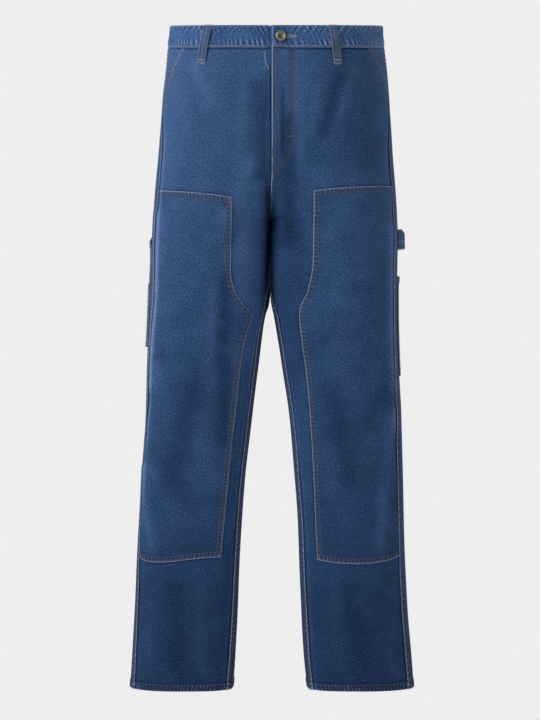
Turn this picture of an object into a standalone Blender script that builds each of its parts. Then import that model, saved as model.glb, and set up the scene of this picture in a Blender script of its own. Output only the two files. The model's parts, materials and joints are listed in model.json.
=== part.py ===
"""Carpenter pants with double knees, as they hang filled out: every sewn piece is one closed solid.

The origin is the middle of the waist opening, halfway up the waistband. +Z is up, the front faces -Y
and +X is the wearer's left. Tables hold millimetres; MM turns them into the metres of the meshes.

The cloth's outer face is one function, cloth_point(side, turn, level). A turn runs round half of the
garment: 0 at the centre front (or the innermost line of a leg), 1 at the front, 2 at the outermost
side, 3 at the back and 4 at the centre back. Each panel is a grid of such points with an inner copy.
"""

import functools
import math
from collections import namedtuple

import bmesh
import bpy
from mathutils import Vector

MM = 0.001

# Driving sizes, in millimetres
WALL = 1.2
GAP = 0.3
SEAM_INSET = GAP / 2
BAND_HALF_HEIGHT = 17.5
BAND_OUTER = 1.0
BAND_INNER = -1.4
BAND_TILT = 0.17
BAND_LEVEL_Y = 5.0
BAND_UNDER_LAP = (16.0, 34.0)
CROTCH_LEVEL = -296.0
JUST_ABOVE = 1e-6
CURVE_STEPS = 400
CREASE_POWER = 1.5
FRONT_CURVE_HEIGHT = 92.0
BACK_CURVE_HEIGHT = 135.0
CURVE_POWER = 2.2
ROUNDNESS_OUTER = 2.25
ROUNDNESS_THIGH = 2.5
SIDE_SHIFT = 0.4
HEM_LEVEL = -1041.0
SIDE_SEAM_TURN = 1.845
INSEAM_LEAD = 0.2
INSEAM_LEAD_HEIGHT = 124.0
SLIT_LEAN = 0.08
SLIT_REACH = 18.0
SLIT_START_HEIGHT = 35.0
SLIT_END_LEVEL = -475.0
SLIT_END_HEIGHT = 40.0
FLY_EDGE_X = 1.0
FLY_RAISE = WALL + GAP
FLY_FLAT_WIDTH = 18.0
FLY_SLOPE_END = 40.0
FLY_ROWS = 7
FACING_DEPTH = -(WALL + GAP)
PATCH_BOTTOM_SAG = 12.0
PATCH_SAG_ROWS = 4.0
PATCH_EDGE_TURN = 0.8
PATCH_EDGE_LIMIT = 1.95

# Grid sizes: cells along and across the panels
ROWS = 35
POCKET_END_ROW = 5
PATCH_TOP_ROW = 10
CROTCH_ROW = 12
PATCH_BOTTOM_ROW = 29
FRONT_INNER_COLUMNS = 4
FRONT_COLUMNS = 12
BACK_COLUMNS = 14
TOOL_COLUMNS = 6
SMALL_POCKET_COLUMNS = 3
BAND_COLUMNS = 26
FACING_COLUMNS = 3
COIN_POCKET_TOP_ROW = 2
TOOL_POCKET_ROWS = {"right": (14, 20), "left": (16, 22)}
RULE_POCKET_ROWS = (16, 20)
HAMMER_LOOP_ROWS = (13, 14)
BACK_POCKET_ROWS = (3, 9)
BACK_POCKET_COLUMNS = (4, 10)

SIDES = {"right": -1, "left": 1}

# Each row: how far the cloth reaches at a level. Out and in are measured from the centre plane, front
# and back from the plane y = 0. Apex says where the front stands furthest forward, as a share of the
# width; inner_y is the depth of the line where the thighs come closest.
Section = namedtuple(
    "Section", "level right_out left_out right_in left_in front back apex inner_y"
)
SECTIONS = (
    Section(60, 157.0, 174.0, 0.0, 0.0, 98, 110, 0.24, -2),
    Section(18, 160.0, 177.3, 0.0, 0.0, 101, 117, 0.25, -2),
    Section(-20, 164.6, 180.8, 0.0, 0.0, 104, 125, 0.27, -2),
    Section(-60, 168.2, 185.6, 0.0, 0.0, 111, 136, 0.30, -2),
    Section(-100, 173.0, 189.0, 0.0, 0.0, 116, 146, 0.33, -2),
    Section(-150, 177.0, 192.6, 0.0, 0.0, 119, 151, 0.37, -2),
    Section(-200, 181.2, 195.8, 0.0, 0.0, 119, 150, 0.41, -2),
    Section(-250, 185.4, 199.6, 0.0, 0.0, 114, 140, 0.45, -2),
    Section(-296, 188.4, 201.6, 0.15, 0.15, 107, 127, 0.48, -2),
    Section(-330, 189.8, 202.4, 0.5, 0.5, 101, 117, 0.50, 3),
    Section(-400, 192.4, 201.9, 1.0, 1.0, 90, 103, 0.50, 10),
    Section(-432, 193.6, 202.0, 1.6, 1.4, 86, 98, 0.50, 11),
    Section(-446, 194.2, 202.1, 7.0, 3.6, 84, 96, 0.50, 10),
    Section(-480, 195.8, 202.8, 14.4, 10.0, 80, 92, 0.50, 8),
    Section(-520, 198.0, 204.2, 19.6, 16.4, 75, 88, 0.50, 6),
    Section(-600, 200.3, 208.0, 29.2, 28.8, 68, 81, 0.50, 5),
    Section(-700, 207.0, 211.2, 40.6, 37.6, 60, 76, 0.50, 7),
    Section(-800, 213.0, 213.6, 48.4, 43.9, 54, 74, 0.50, 9),
    Section(-900, 217.6, 217.6, 52.8, 48.0, 50, 72, 0.50, 10),
    Section(-1000, 223.0, 225.8, 57.6, 53.4, 47, 70, 0.50, 11),
    Section(-1046, 226.0, 229.2, 61.2, 58.0, 46, 69, 0.50, 11),
)

# Each row: the level of one line of the grid where it meets the inseam, the patch's inner edge, the
# side seam and the tool pocket's rear edge. Down to the crotch the inner level follows the seam's curve.
LinePlace = namedtuple("LinePlace", "line inner patch side pocket")
LINES = {
    "right": (
        LinePlace(5, None, -137, -118, -120),
        LinePlace(10, None, -267, -249, -236),
        LinePlace(12, -296, -305, -290, -262),
        LinePlace(14, -338, -360, -341, -300),
        LinePlace(16, -384, -410, -398, -386),
        LinePlace(18, -430, -448, -448, -442),
        LinePlace(20, -490, -505, -498, -498),
        LinePlace(29, -826, -829, -824, -824),
        LinePlace(35, HEM_LEVEL, HEM_LEVEL, HEM_LEVEL, HEM_LEVEL),
    ),
    "left": (
        LinePlace(5, None, -132, -122, -124),
        LinePlace(10, None, -257, -243, -240),
        LinePlace(12, -296, -299, -285, -276),
        LinePlace(13, -316, -321, -311, -303),
        LinePlace(14, -338, -344, -343, -336),
        LinePlace(16, -380, -390, -388, -378),
        LinePlace(18, -425, -443, -440, -436),
        LinePlace(20, -480, -500, -492, -490),
        LinePlace(22, -545, -566, -544, -544),
        LinePlace(29, -831, -833, -819, -819),
        LinePlace(35, HEM_LEVEL, HEM_LEVEL, HEM_LEVEL, HEM_LEVEL),
    ),
}

# The knee patch's inner edge, and the line that carries it on to the waist and the hem
EdgePlace = namedtuple("EdgePlace", "level across")
PATCH_EDGE = {
    "right": (
        EdgePlace(-30, 56),
        EdgePlace(-267, 61),
        EdgePlace(-387, 65),
        EdgePlace(-410, 60),
        EdgePlace(-432, 48),
        EdgePlace(-448, 32),
        EdgePlace(-550, 44),
        EdgePlace(-690, 58),
        EdgePlace(-829, 73),
        EdgePlace(-1041, 92),
    ),
    "left": (
        EdgePlace(-30, 60),
        EdgePlace(-257, 66),
        EdgePlace(-364, 65),
        EdgePlace(-410, 57),
        EdgePlace(-443, 44),
        EdgePlace(-534, 50),
        EdgePlace(-660, 61),
        EdgePlace(-834, 70),
        EdgePlace(-1041, 88),
    ),
}
POCKET_MOUTH_TOP = {"right": 140.0, "left": 156.0}
POCKET_TOP_LEVEL = -30.0

# Each row: a soft ridge (height above 0) or trough, along a straight run on one face of the cloth
Fold = namedtuple("Fold", "side face across_top level_top across_end level_end width height")
FOLDS = (
    Fold("right", "front", 20, -95, 17, -235, 13, -4.0),
    Fold("right", "front", 179, -290, 185, -560, 11, 2.5),
    Fold("right", "front", 68, -395, 72, -640, 13, -3.5),
    Fold("right", "front", 202, -690, 187, -815, 11, 3.0),
    Fold("right", "front", 120, -560, 150, -700, 18, -2.5),
    Fold("right", "front", 150, -880, 140, -990, 18, -2.5),
    Fold("left", "front", 31, -150, 25, -330, 14, -4.0),
    Fold("left", "front", 110, -85, 84, -165, 13, -3.0),
    Fold("left", "front", 182, -310, 188, -560, 11, 3.0),
    Fold("left", "front", 190, -600, 172, -815, 11, 3.0),
    Fold("left", "front", 95, -560, 125, -700, 18, -2.5),
    Fold("left", "front", 130, -880, 150, -1000, 18, -2.5),
    Fold("right", "back", 150, -262, 50, -330, 15, -4.0),
    Fold("left", "back", 150, -268, 50, -336, 15, -4.0),
    Fold("right", "back", 170, -560, 80, -600, 14, -4.0),
    Fold("left", "back", 170, -566, 80, -600, 14, -4.0),
    Fold("right", "back", 180, -625, 90, -650, 14, -3.5),
    Fold("left", "back", 180, -630, 90, -662, 14, -3.5),
    Fold("right", "back", 150, -860, 120, -1000, 18, -3.0),
    Fold("left", "back", 150, -880, 125, -1010, 18, -3.0),
)
FOLD_SEAM_FADE = 0.14
FOLD_CENTRE_FADE = 10.0

Loop = namedtuple("Loop", "name side face across_top across_end")
BELT_LOOPS = (
    Loop("belt_loop_front_right", "right", "front", 95.0, 106.0),
    Loop("belt_loop_front_left", "left", "front", 93.0, 100.0),
    Loop("belt_loop_side_right", "right", "back", 128.0, 130.0),
    Loop("belt_loop_side_left", "left", "back", 140.0, 142.0),
    Loop("belt_loop_back", "left", "back", 1.5, 1.5),
)
LOOP_WIDTH = 13.0
LOOP_WALL = 1.8
LOOP_BOW = 2.2
LOOP_BELOW_BAND = 25.0
LOOP_BEND = 6.0
LOOP_STEPS = 7

BUTTON_X = 14.6
BUTTON_STEPS = 24
# The button's half section: distance from its middle and height above the cloth, top to bottom
BUTTON_PROFILE = (
    (0.0, 1.3),
    (2.3, 1.4),
    (3.1, 2.0),
    (4.3, 3.3),
    (5.9, 3.9),
    (7.5, 3.5),
    (8.5, 2.5),
    (8.7, 1.5),
    (8.2, 0.6),
    (0.0, 0.6),
)

HAMMER_LOOP_WALL = 1.8
HAMMER_LOOP_BOW = 14.0
HAMMER_LOOP_POWER = 0.7
TOOL_POCKET_GAPE = 3.0

COLOURS = {
    "denim": (0.043, 0.098, 0.205),
    "denim_patch": (0.039, 0.090, 0.190),
    "denim_loop": (0.085, 0.125, 0.195),
    "button_metal": (0.160, 0.145, 0.120),
}


def smooth(share):
    """An even start and stop between 0 and 1."""
    share = min(max(share, 0.0), 1.0)
    return share * share * (3.0 - 2.0 * share)


def read_table(rows, column, level):
    """A table's column at a level, on a curve through its rows that never overshoots them."""
    heights = [row.level for row in rows]
    values = [getattr(row, column) for row in rows]
    level = min(max(level, heights[-1]), heights[0])
    at = next(i for i in range(len(rows) - 1) if level >= heights[i + 1])

    def rise(i):
        return (values[i + 1] - values[i]) / (heights[i + 1] - heights[i])

    def slope(i):
        if i == 0 or i == len(rows) - 1:
            return rise(min(i, len(rows) - 2))
        before, after = rise(i - 1), rise(i)
        if before * after <= 0.0:
            return 0.0
        return 2.0 * before * after / (before + after)

    span = heights[at + 1] - heights[at]
    share = (level - heights[at]) / span
    start, end = slope(at) * span, slope(at + 1) * span
    turned = 1.0 - share
    return (
        values[at] * (1.0 + 2.0 * share) * turned**2
        + start * share * turned**2
        + values[at + 1] * share**2 * (3.0 - 2.0 * share)
        - end * share**2 * turned
    )


Girth = namedtuple("Girth", "inner outer front back apex side_y inner_y")


@functools.lru_cache(maxsize=None)
def girth(side, level):
    """The sizes of one half of the garment at a level."""
    inner = read_table(SECTIONS, side + "_in", level) if level <= CROTCH_LEVEL else 0.0
    outer = read_table(SECTIONS, side + "_out", level)
    front = read_table(SECTIONS, "front", level)
    back = read_table(SECTIONS, "back", level)
    share = read_table(SECTIONS, "apex", level)
    return Girth(
        inner,
        outer,
        front,
        back,
        inner + share * (outer - inner),
        SIDE_SHIFT * (back - front),
        read_table(SECTIONS, "inner_y", level),
    )


def rounded(angle, power):
    """Sine and cosine on a quarter circle that is squared off by a power above 2."""
    across, along = math.sin(angle), math.cos(angle)
    size = (abs(across) ** power + abs(along) ** power) ** (1.0 / power)
    return across / size, along / size


def centre_seam(reach, rise, height):
    """The crotch seam's depth from its lowest point, on a rounded corner."""
    share = min(max(rise / height, 0.0), 1.0)
    return reach * (1.0 - (1.0 - share) ** CURVE_POWER) ** (1.0 / CURVE_POWER)


def inner_arc(size, level, share, reach, height):
    """A point between the centre line (share 0) and the front or back apex (share 1)."""
    angle = share * math.pi / 2.0
    along, turned = rounded(angle, ROUNDNESS_THIGH)
    span = size.apex - size.inner
    folded = (size.inner + span * (1.0 - turned), size.inner_y + reach * along)
    if level <= CROTCH_LEVEL:
        return folded
    rise = level - CROTCH_LEVEL
    seam_y = size.inner_y + centre_seam(reach, rise, height)
    dip = (size.inner_y + reach) - seam_y
    soft_y = (size.inner_y + reach) - dip * (1.0 + math.cos(math.pi * share)) / 2.0
    crease = (1.0 - min(rise / height, 1.0)) ** CREASE_POWER
    folded_y = seam_y + (size.inner_y + reach - seam_y) * along
    across = (1.0 - crease) * span * share + crease * span * (1.0 - turned)
    return across, (1.0 - crease) * soft_y + crease * folded_y


def plain_point(side, turn, level):
    """The cloth's outer face before the lean between the thighs; across is from the centre plane."""
    size = girth(side, level)
    if turn > 4.0:
        turn -= 4.0
    if turn < 1.0:
        reach = -(size.front + size.inner_y)
        return inner_arc(size, level, turn, reach, FRONT_CURVE_HEIGHT)
    if turn > 3.0:
        reach = size.back - size.inner_y
        return inner_arc(size, level, 4.0 - turn, reach, BACK_CURVE_HEIGHT)
    width = size.outer - size.apex
    if turn < 2.0:
        across, along = rounded((turn - 1.0) * math.pi / 2.0, ROUNDNESS_OUTER)
        return size.apex + width * across, size.side_y - (size.side_y + size.front) * along
    along, across = rounded((turn - 2.0) * math.pi / 2.0, ROUNDNESS_OUTER)
    return size.apex + width * across, size.side_y + (size.back - size.side_y) * along


def slit_lean(across, y, inner_y, level):
    """The shift in X that slants the narrow slit between the thighs, the same on both legs."""
    start = smooth((CROTCH_LEVEL - level) / SLIT_START_HEIGHT)
    ramp = start * smooth((level - SLIT_END_LEVEL) / SLIT_END_HEIGHT)
    return SLIT_LEAN * ramp * (y - inner_y) * math.exp(-((across / SLIT_REACH) ** 2))


def cloth_point(side, turn, level):
    across, y = plain_point(side, turn, level)
    across = max(across, SEAM_INSET)
    x = SIDES[side] * across + slit_lean(across, y, girth(side, level).inner_y, level)
    return Vector((x, y, level))


def cloth_normal(side, turn, level):
    """The outward direction at a point of the cloth."""
    step, drop = 0.004, 0.5
    ends_at_centre = level > CROTCH_LEVEL - drop
    before = max(turn - step, 0.0) if ends_at_centre else turn - step
    after = min(turn + step, 4.0) if ends_at_centre else turn + step
    if before < 0.0:
        before += 4.0
    round_it = cloth_point(side, after, level) - cloth_point(side, before, level)
    down_it = cloth_point(side, turn, level - drop) - cloth_point(side, turn, level + drop)
    return (SIDES[side] * down_it.cross(round_it)).normalized()


def fold_height(side, turn, level):
    """How far the folds move the cloth out along its normal."""
    face = "front" if turn < SIDE_SEAM_TURN or turn > 4.0 else "back"
    across = plain_point(side, turn, level)[0]
    total = 0.0
    for fold in FOLDS:
        if (fold.side, fold.face) != (side, face):
            continue
        start = Vector((fold.across_top, fold.level_top))
        run = Vector((fold.across_end, fold.level_end)) - start
        here = Vector((across, level)) - start
        share = min(max(here.dot(run) / run.length_squared, 0.0), 1.0)
        away = (here - share * run).length / fold.width
        total += fold.height * math.exp(-(away**2))
    seam_fade = smooth(abs(turn - SIDE_SEAM_TURN) / FOLD_SEAM_FADE)
    lead = inseam_turn(level)
    inner_fade = smooth(min(abs(turn - lead), abs(turn - 4.0 - lead)) / FOLD_SEAM_FADE)
    centre_fade = smooth(across / FOLD_CENTRE_FADE)
    return total * seam_fade * inner_fade * centre_fade


def inseam_turn(level):
    """How far round to the front the inseam lies below the crotch."""
    return INSEAM_LEAD * smooth((CROTCH_LEVEL - level) / INSEAM_LEAD_HEIGHT)


def turn_at(side, across, level, lowest, highest):
    """The turn on one face where the cloth is so far from the centre plane."""
    rises = plain_point(side, highest, level)[0] > plain_point(side, lowest, level)[0]
    for _ in range(40):
        middle = (lowest + highest) / 2.0
        if (plain_point(side, middle, level)[0] < across) == rises:
            lowest = middle
        else:
            highest = middle
    return (lowest + highest) / 2.0


def band_level(side, turn, offset):
    """The level of a line of the waistband, which slopes down to the front."""
    y = plain_point(side, turn, offset)[1]
    return offset + BAND_TILT * (y - BAND_LEVEL_Y)


def line_level(side, column, line):
    """The level of a grid line at one of the named columns of its table."""
    rows = LINES[side]
    above = next(row for row in reversed(rows) if row.line <= line)
    if above.line == line:
        return getattr(above, column)
    below = next(row for row in rows if row.line > line)
    share = (line - above.line) / (below.line - above.line)
    return (1.0 - share) * getattr(above, column) + share * getattr(below, column)


@functools.lru_cache(maxsize=None)
def centre_levels(side, turn):
    """The levels where lines 0 to CROTCH_ROW meet the centre seam, evenly along its curve."""
    top = band_level(side, turn, -BAND_HALF_HEIGHT - GAP)
    rise = top - CROTCH_LEVEL
    levels = [CROTCH_LEVEL + rise * (i / CURVE_STEPS) ** 3 for i in range(CURVE_STEPS + 1)]
    places = [Vector((plain_point(side, turn, z + JUST_ABOVE)[1], z)) for z in levels]
    lengths = [0.0]
    for one, two in zip(places, places[1:]):
        lengths.append(lengths[-1] + (two - one).length)
    found = []
    for line in range(CROTCH_ROW + 1):
        target = lengths[-1] * (1.0 - line / CROTCH_ROW)
        at = next(i for i in range(CURVE_STEPS) if lengths[i + 1] >= target - JUST_ABOVE)
        share = (target - lengths[at]) / (lengths[at + 1] - lengths[at])
        found.append(levels[at] + share * (levels[at + 1] - levels[at]))
    found[CROTCH_ROW] = CROTCH_LEVEL
    return found


def inner_level(side, turn, line):
    if line <= CROTCH_ROW:
        return centre_levels(side, turn)[line]
    return line_level(side, "inner", line)


def from_band(side, turn, line, level_below):
    """Lines above the pocket's end change evenly from the band's slope to the line there."""
    share = line / POCKET_END_ROW
    return (1.0 - share) * band_level(side, turn, -BAND_HALF_HEIGHT - GAP) + share * level_below


def mouth_turn(side, line):
    """The front panel's outer edge: the pocket mouth, then the side seam."""
    if line >= POCKET_END_ROW:
        return SIDE_SEAM_TURN
    top = turn_at(side, POCKET_MOUTH_TOP[side], POCKET_TOP_LEVEL, 1.0, 2.0)
    return top + (SIDE_SEAM_TURN - top) * line / POCKET_END_ROW


def front_place(side, line, column):
    """Turn and level of a point of the front panel's grid."""
    below = max(line, POCKET_END_ROW)
    inner = inner_level(side, 0.0, line)
    inner_below = inner_level(side, 0.0, below)
    patch = line_level(side, "patch", below)
    outer = line_level(side, "side", below)
    outer_turn = mouth_turn(side, line)
    edge_level = patch
    if line < POCKET_END_ROW:
        edge_level = from_band(side, PATCH_EDGE_TURN, line, patch)
    across = read_table(PATCH_EDGE[side], "across", edge_level)
    patch_turn = turn_at(side, across, edge_level, inseam_turn(edge_level), PATCH_EDGE_LIMIT)
    if column <= FRONT_INNER_COLUMNS:
        share = column / FRONT_INNER_COLUMNS
        turn = (1.0 - share) * inseam_turn(inner) + share * patch_turn
        level = (1.0 - share) * inner_below + share * patch
        if column == 0:
            return turn, inner
    else:
        share = (column - FRONT_INNER_COLUMNS) / (FRONT_COLUMNS - FRONT_INNER_COLUMNS)
        turn = (1.0 - share) * patch_turn + share * outer_turn
        sag = PATCH_BOTTOM_SAG * smooth(1.0 - abs(line - PATCH_BOTTOM_ROW) / PATCH_SAG_ROWS)
        level = (1.0 - share) * patch + share * outer - sag * 4.0 * share * (1.0 - share)
    if line < POCKET_END_ROW:
        level = from_band(side, turn, line, level)
    return turn, level


def back_place(side, line, column):
    """Turn and level of a point of the back panel's grid, from the side seam to the centre back."""
    below = max(line, POCKET_END_ROW)
    inner = inner_level(side, 4.0, line)
    seam = line_level(side, "side", below)
    pocket = line_level(side, "pocket", below)
    last = 4.0 + inseam_turn(inner)
    turn = SIDE_SEAM_TURN + (last - SIDE_SEAM_TURN) * column / BACK_COLUMNS
    if column == BACK_COLUMNS:
        return turn, inner
    if column <= TOOL_COLUMNS:
        share = column / TOOL_COLUMNS
        level = pocket + (seam - pocket) * (1.0 - share) ** 2
    else:
        share = (column - TOOL_COLUMNS) / (BACK_COLUMNS - TOOL_COLUMNS)
        level = (1.0 - share) * pocket + share * inner_level(side, 4.0, below)
    if line < POCKET_END_ROW:
        level = from_band(side, turn, line, level)
    return turn, level


def inset_turn(side, turn, level, towards):
    """A turn moved by half a seam's gap along the cloth."""
    step = 0.01
    length = (cloth_point(side, turn + step, level) - cloth_point(side, turn - step, level)).length
    return turn + towards * SEAM_INSET * 2.0 * step / length


ClothPoint = namedtuple("ClothPoint", "place normal")


@functools.lru_cache(maxsize=None)
def front_point(side, line, column):
    turn, level = front_place(side, line, column)
    if column == FRONT_COLUMNS:
        turn = inset_turn(side, turn, level, -1.0)
    if column == 0 and line > CROTCH_ROW:
        turn = inset_turn(side, turn, level, 1.0)
    if column == 0 and side == "left" and line <= FLY_ROWS:
        turn = turn_at(side, FLY_EDGE_X, level, 0.0, 1.0)
    return raised_point(side, turn, level)


@functools.lru_cache(maxsize=None)
def back_point(side, line, column):
    turn, level = back_place(side, line, column)
    if column == 0:
        turn = inset_turn(side, turn, level, 1.0)
    if column == BACK_COLUMNS and line > CROTCH_ROW:
        turn = inset_turn(side, turn, level, -1.0)
    return raised_point(side, turn, level)


def raised_point(side, turn, level):
    """A point of the folded cloth, with its normal."""
    normal = cloth_normal(side, turn, level)
    place = cloth_point(side, turn, level) + normal * fold_height(side, turn, level)
    return ClothPoint(place, normal)


def closed_wall(name, outer, inner, cells, colour):
    """One closed solid from an outer and an inner grid of points, over the cells that are present.

    Cells left of column 0 are split the other way, so that they match a mirrored grid above them.
    """
    shape = bmesh.new()
    corners = {}

    def corner(layer, row, column):
        key = (layer, row, column)
        if key not in corners:
            corners[key] = shape.verts.new(layers[layer](row, column) * MM)
        return corners[key]

    def square(a, b, c, d):
        shape.faces.new((a, b, c))
        shape.faces.new((a, c, d))

    layers = (outer, inner)
    for row, column in sorted(cells):
        around = ((0, 0), (1, 0), (1, 1), (0, 1)) if column >= 0 else ((1, 0), (1, 1), (0, 1), (0, 0))
        for layer in (0, 1):
            square(*(corner(layer, row + down, column + over) for down, over in around))
        borders = (
            ((row, column - 1), (0, 0), (1, 0)),
            ((row, column + 1), (0, 1), (1, 1)),
            ((row - 1, column), (0, 0), (0, 1)),
            ((row + 1, column), (1, 0), (1, 1)),
        )
        for neighbour, one, two in borders:
            if neighbour not in cells:
                first = (row + one[0], column + one[1])
                second = (row + two[0], column + two[1])
                square(corner(0, *first), corner(0, *second), corner(1, *second), corner(1, *first))
    bmesh.ops.recalc_face_normals(shape, faces=shape.faces)
    mesh = bpy.data.meshes.new(name)
    shape.to_mesh(mesh)
    shape.free()
    mesh.shade_smooth()
    mesh.set_sharp_from_angle(angle=math.radians(40.0))
    return add_piece(name, mesh, colour)


def add_piece(name, mesh, colour):
    mesh.materials.append(finish(colour))
    piece = bpy.data.objects.new(name, mesh)
    piece.parent = bpy.data.objects["waist"]
    bpy.data.collections["carpenter_pants"].objects.link(piece)
    return piece


def finish(name):
    """The plain material of a colour, made once."""
    if name in bpy.data.materials:
        return bpy.data.materials[name]
    material = bpy.data.materials.new(name)
    material.use_nodes = True
    shader = material.node_tree.nodes["Principled BSDF"]
    metal = name == "button_metal"
    shader.inputs["Base Color"].default_value = (*COLOURS[name], 1.0)
    shader.inputs["Roughness"].default_value = 0.45 if metal else 0.9
    shader.inputs["Metallic"].default_value = 0.9 if metal else 0.0
    return material


def block(rows, columns):
    """All cells of a rectangle of the grid."""
    return {(row, column) for row in range(*rows) for column in range(*columns)}


def laid_on(name, source, side, cells, colour, under=GAP, wall=WALL, lift=None):
    """A piece that lies on a panel: the panel's own points, moved out along their normals."""

    def moved(offset):
        def place(row, column):
            point = source(side, row, column)
            extra = lift(row, column) if lift else 0.0
            return point.place + point.normal * (offset + extra)

        return place

    return closed_wall(name, moved(under + wall), moved(under), cells, colour)


def fly_lift(side, line, across):
    """How far the lapping fly edge stands out from the other panel."""
    if side == "right" or line > FLY_ROWS:
        return 0.0
    slope = (across - FLY_FLAT_WIDTH) / (FLY_SLOPE_END - FLY_FLAT_WIDTH)
    return FLY_RAISE * (1.0 - smooth(slope))


def front_panel(side):
    """A front: fly edge and inseam inside, pocket mouth and side seam outside."""

    def placed(depth):
        def place(row, column):
            if column < 0:
                # The under-lap of the fly runs on below the left panel's first column
                point = front_point("left", row, 1)
                return point.place - point.normal * depth
            point = front_point(side, row, column)
            lift = fly_lift(side, row, abs(point.place.x))
            return point.place + point.normal * (lift - depth)

        return place

    cells = block((0, ROWS), (0, FRONT_COLUMNS))
    if side == "right":
        cells |= block((0, FLY_ROWS), (-1, 0))
    closed_wall("front_" + side, placed(0.0), placed(WALL), cells, "denim")


def back_panel(side):
    cells = block((0, ROWS), (0, BACK_COLUMNS))
    laid_on("back_" + side, back_point, side, cells, "denim", under=-WALL)


def knee_patch(side):
    """The second layer over the knee, from mid thigh to mid shin."""
    cells = block((PATCH_TOP_ROW, PATCH_BOTTOM_ROW), (FRONT_INNER_COLUMNS, FRONT_COLUMNS))
    laid_on("knee_patch_" + side, front_point, side, cells, "denim_patch")


def facing_point(side, line, column):
    """The facing runs on from the front panel's last two columns to the side seam."""
    if column <= 1:
        return front_point(side, line, FRONT_COLUMNS - 1 + column)
    start = mouth_turn(side, line)
    turn = start + (SIDE_SEAM_TURN - start) * (column - 1) / (FACING_COLUMNS - 1)
    level = from_band(side, turn, line, line_level(side, "side", POCKET_END_ROW))
    if column == FACING_COLUMNS:
        turn = inset_turn(side, turn, level, -1.0)
    return raised_point(side, turn, level)


def pocket_facing(side):
    """The cloth seen inside the slanted front pocket, just under the front panel's edge."""
    coin_room = FACING_DEPTH if side == "right" else 0.0

    def lift(line, column):
        if column <= 1 or line >= POCKET_END_ROW - 1:
            return FACING_DEPTH + coin_room
        if column == FACING_COLUMNS:
            return 0.0
        return FACING_DEPTH * (1.0 - smooth((column - 1) / (FACING_COLUMNS - 1))) + coin_room

    cells = block((0, POCKET_END_ROW - 1), (0, FACING_COLUMNS))
    name = "pocket_facing_" + side
    laid_on(name, facing_point, side, cells, "denim", under=-WALL, lift=lift)


def coin_pocket():
    """The small pocket on the wearer's right facing, half under the front panel."""

    def lift(line, column):
        if column <= 1:
            return FACING_DEPTH
        return FACING_DEPTH * (1.0 - smooth((column - 1) / (FACING_COLUMNS - 1)))

    cells = block((COIN_POCKET_TOP_ROW, POCKET_END_ROW - 1), (0, FACING_COLUMNS - 1))
    laid_on("coin_pocket", facing_point, "right", cells, "denim", under=-WALL, lift=lift)


def tool_pockets():
    """The long pockets behind the side seams, with the small one on the wearer's right."""

    def gape(first):
        def lift(line, column):
            if line != first or column in (0, TOOL_COLUMNS):
                return 0.0
            return TOOL_POCKET_GAPE

        return lift

    for side, rows in TOOL_POCKET_ROWS.items():
        cells = block(rows, (0, TOOL_COLUMNS))
        laid_on("tool_pocket_" + side, back_point, side, cells, "denim", lift=gape(rows[0]))
    small = block(RULE_POCKET_ROWS, (0, SMALL_POCKET_COLUMNS))
    on_pocket = WALL + 2.0 * GAP
    laid_on("rule_pocket_right", back_point, "right", small, "denim", under=on_pocket)


def hammer_loop():
    """The strap that bows out behind the wearer's left side seam."""

    def lift(_line, column):
        return HAMMER_LOOP_BOW * math.sin(math.pi * min(column / TOOL_COLUMNS, 1.0)) ** HAMMER_LOOP_POWER

    cells = block(HAMMER_LOOP_ROWS, (0, TOOL_COLUMNS))
    laid_on("hammer_loop", back_point, "left", cells, "denim", wall=HAMMER_LOOP_WALL, lift=lift)


def back_pockets():
    for side in SIDES:
        cells = block(BACK_POCKET_ROWS, BACK_POCKET_COLUMNS)
        laid_on("back_pocket_" + side, back_point, side, cells, "denim")


def waistband():
    """One strip round the waist; its right end runs on beneath the left end."""
    stations = []
    for column in range(BAND_COLUMNS + 1):
        stations.append(("left", 4.0 * column / BAND_COLUMNS, 0.0))
    stations[0] = ("left", turn_at("left", FLY_EDGE_X, 0.0, 0.0, 1.0), 0.0)
    for column in range(1, BAND_COLUMNS + 1):
        stations.append(("right", 4.0 - 4.0 * column / BAND_COLUMNS, 0.0))
    under = BAND_INNER - BAND_OUTER - GAP
    stations[-1] = ("right", 0.0, under)
    for across in BAND_UNDER_LAP:
        stations.append(("left", turn_at("left", across, 0.0, 0.0, 1.0), under))

    def placed(offset):
        def place(row, column):
            side, turn, depth = stations[column]
            height = BAND_HALF_HEIGHT * (1.0 - row)
            level = band_level(side, turn, height)
            point = cloth_point(side, turn, level)
            if turn in (0.0, 4.0):
                point.x = 0.0
            return point + cloth_normal(side, turn, level) * (offset + depth)

        return place

    cells = block((0, 2), (0, len(stations) - 1))
    closed_wall("waistband", placed(BAND_OUTER), placed(BAND_INNER), cells, "denim")


def belt_loops():
    """Narrow straps from the band's top edge to the cloth below it, bowed off the band."""
    for loop in BELT_LOOPS:

        def placed(offset, loop=loop):
            def place(row, column):
                share = row / LOOP_STEPS
                across = loop.across_top + share * (loop.across_end - loop.across_top)
                across += (column - 0.5) * LOOP_WIDTH
                side, start, end = loop.side, 0.0, SIDE_SEAM_TURN
                if loop.face == "back":
                    start, end = 2.0, 4.0
                if across < 0.0:
                    side, across = "right", -across
                height = BAND_HALF_HEIGHT - share * (2.0 * BAND_HALF_HEIGHT + LOOP_BELOW_BAND)
                turn = turn_at(side, across, height, start, end)
                level = band_level(side, turn, height)
                on_band = BAND_OUTER * smooth((height + BAND_HALF_HEIGHT + LOOP_BEND) / LOOP_BEND)
                bow = LOOP_BOW * math.sin(math.pi * share)
                point = cloth_point(side, turn, level)
                normal = cloth_normal(side, turn, level)
                return point + normal * (GAP + on_band + bow + offset)

            return place

        cells = block((0, LOOP_STEPS), (0, 1))
        closed_wall(loop.name, placed(LOOP_WALL), placed(0.0), cells, "denim_loop")


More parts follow.
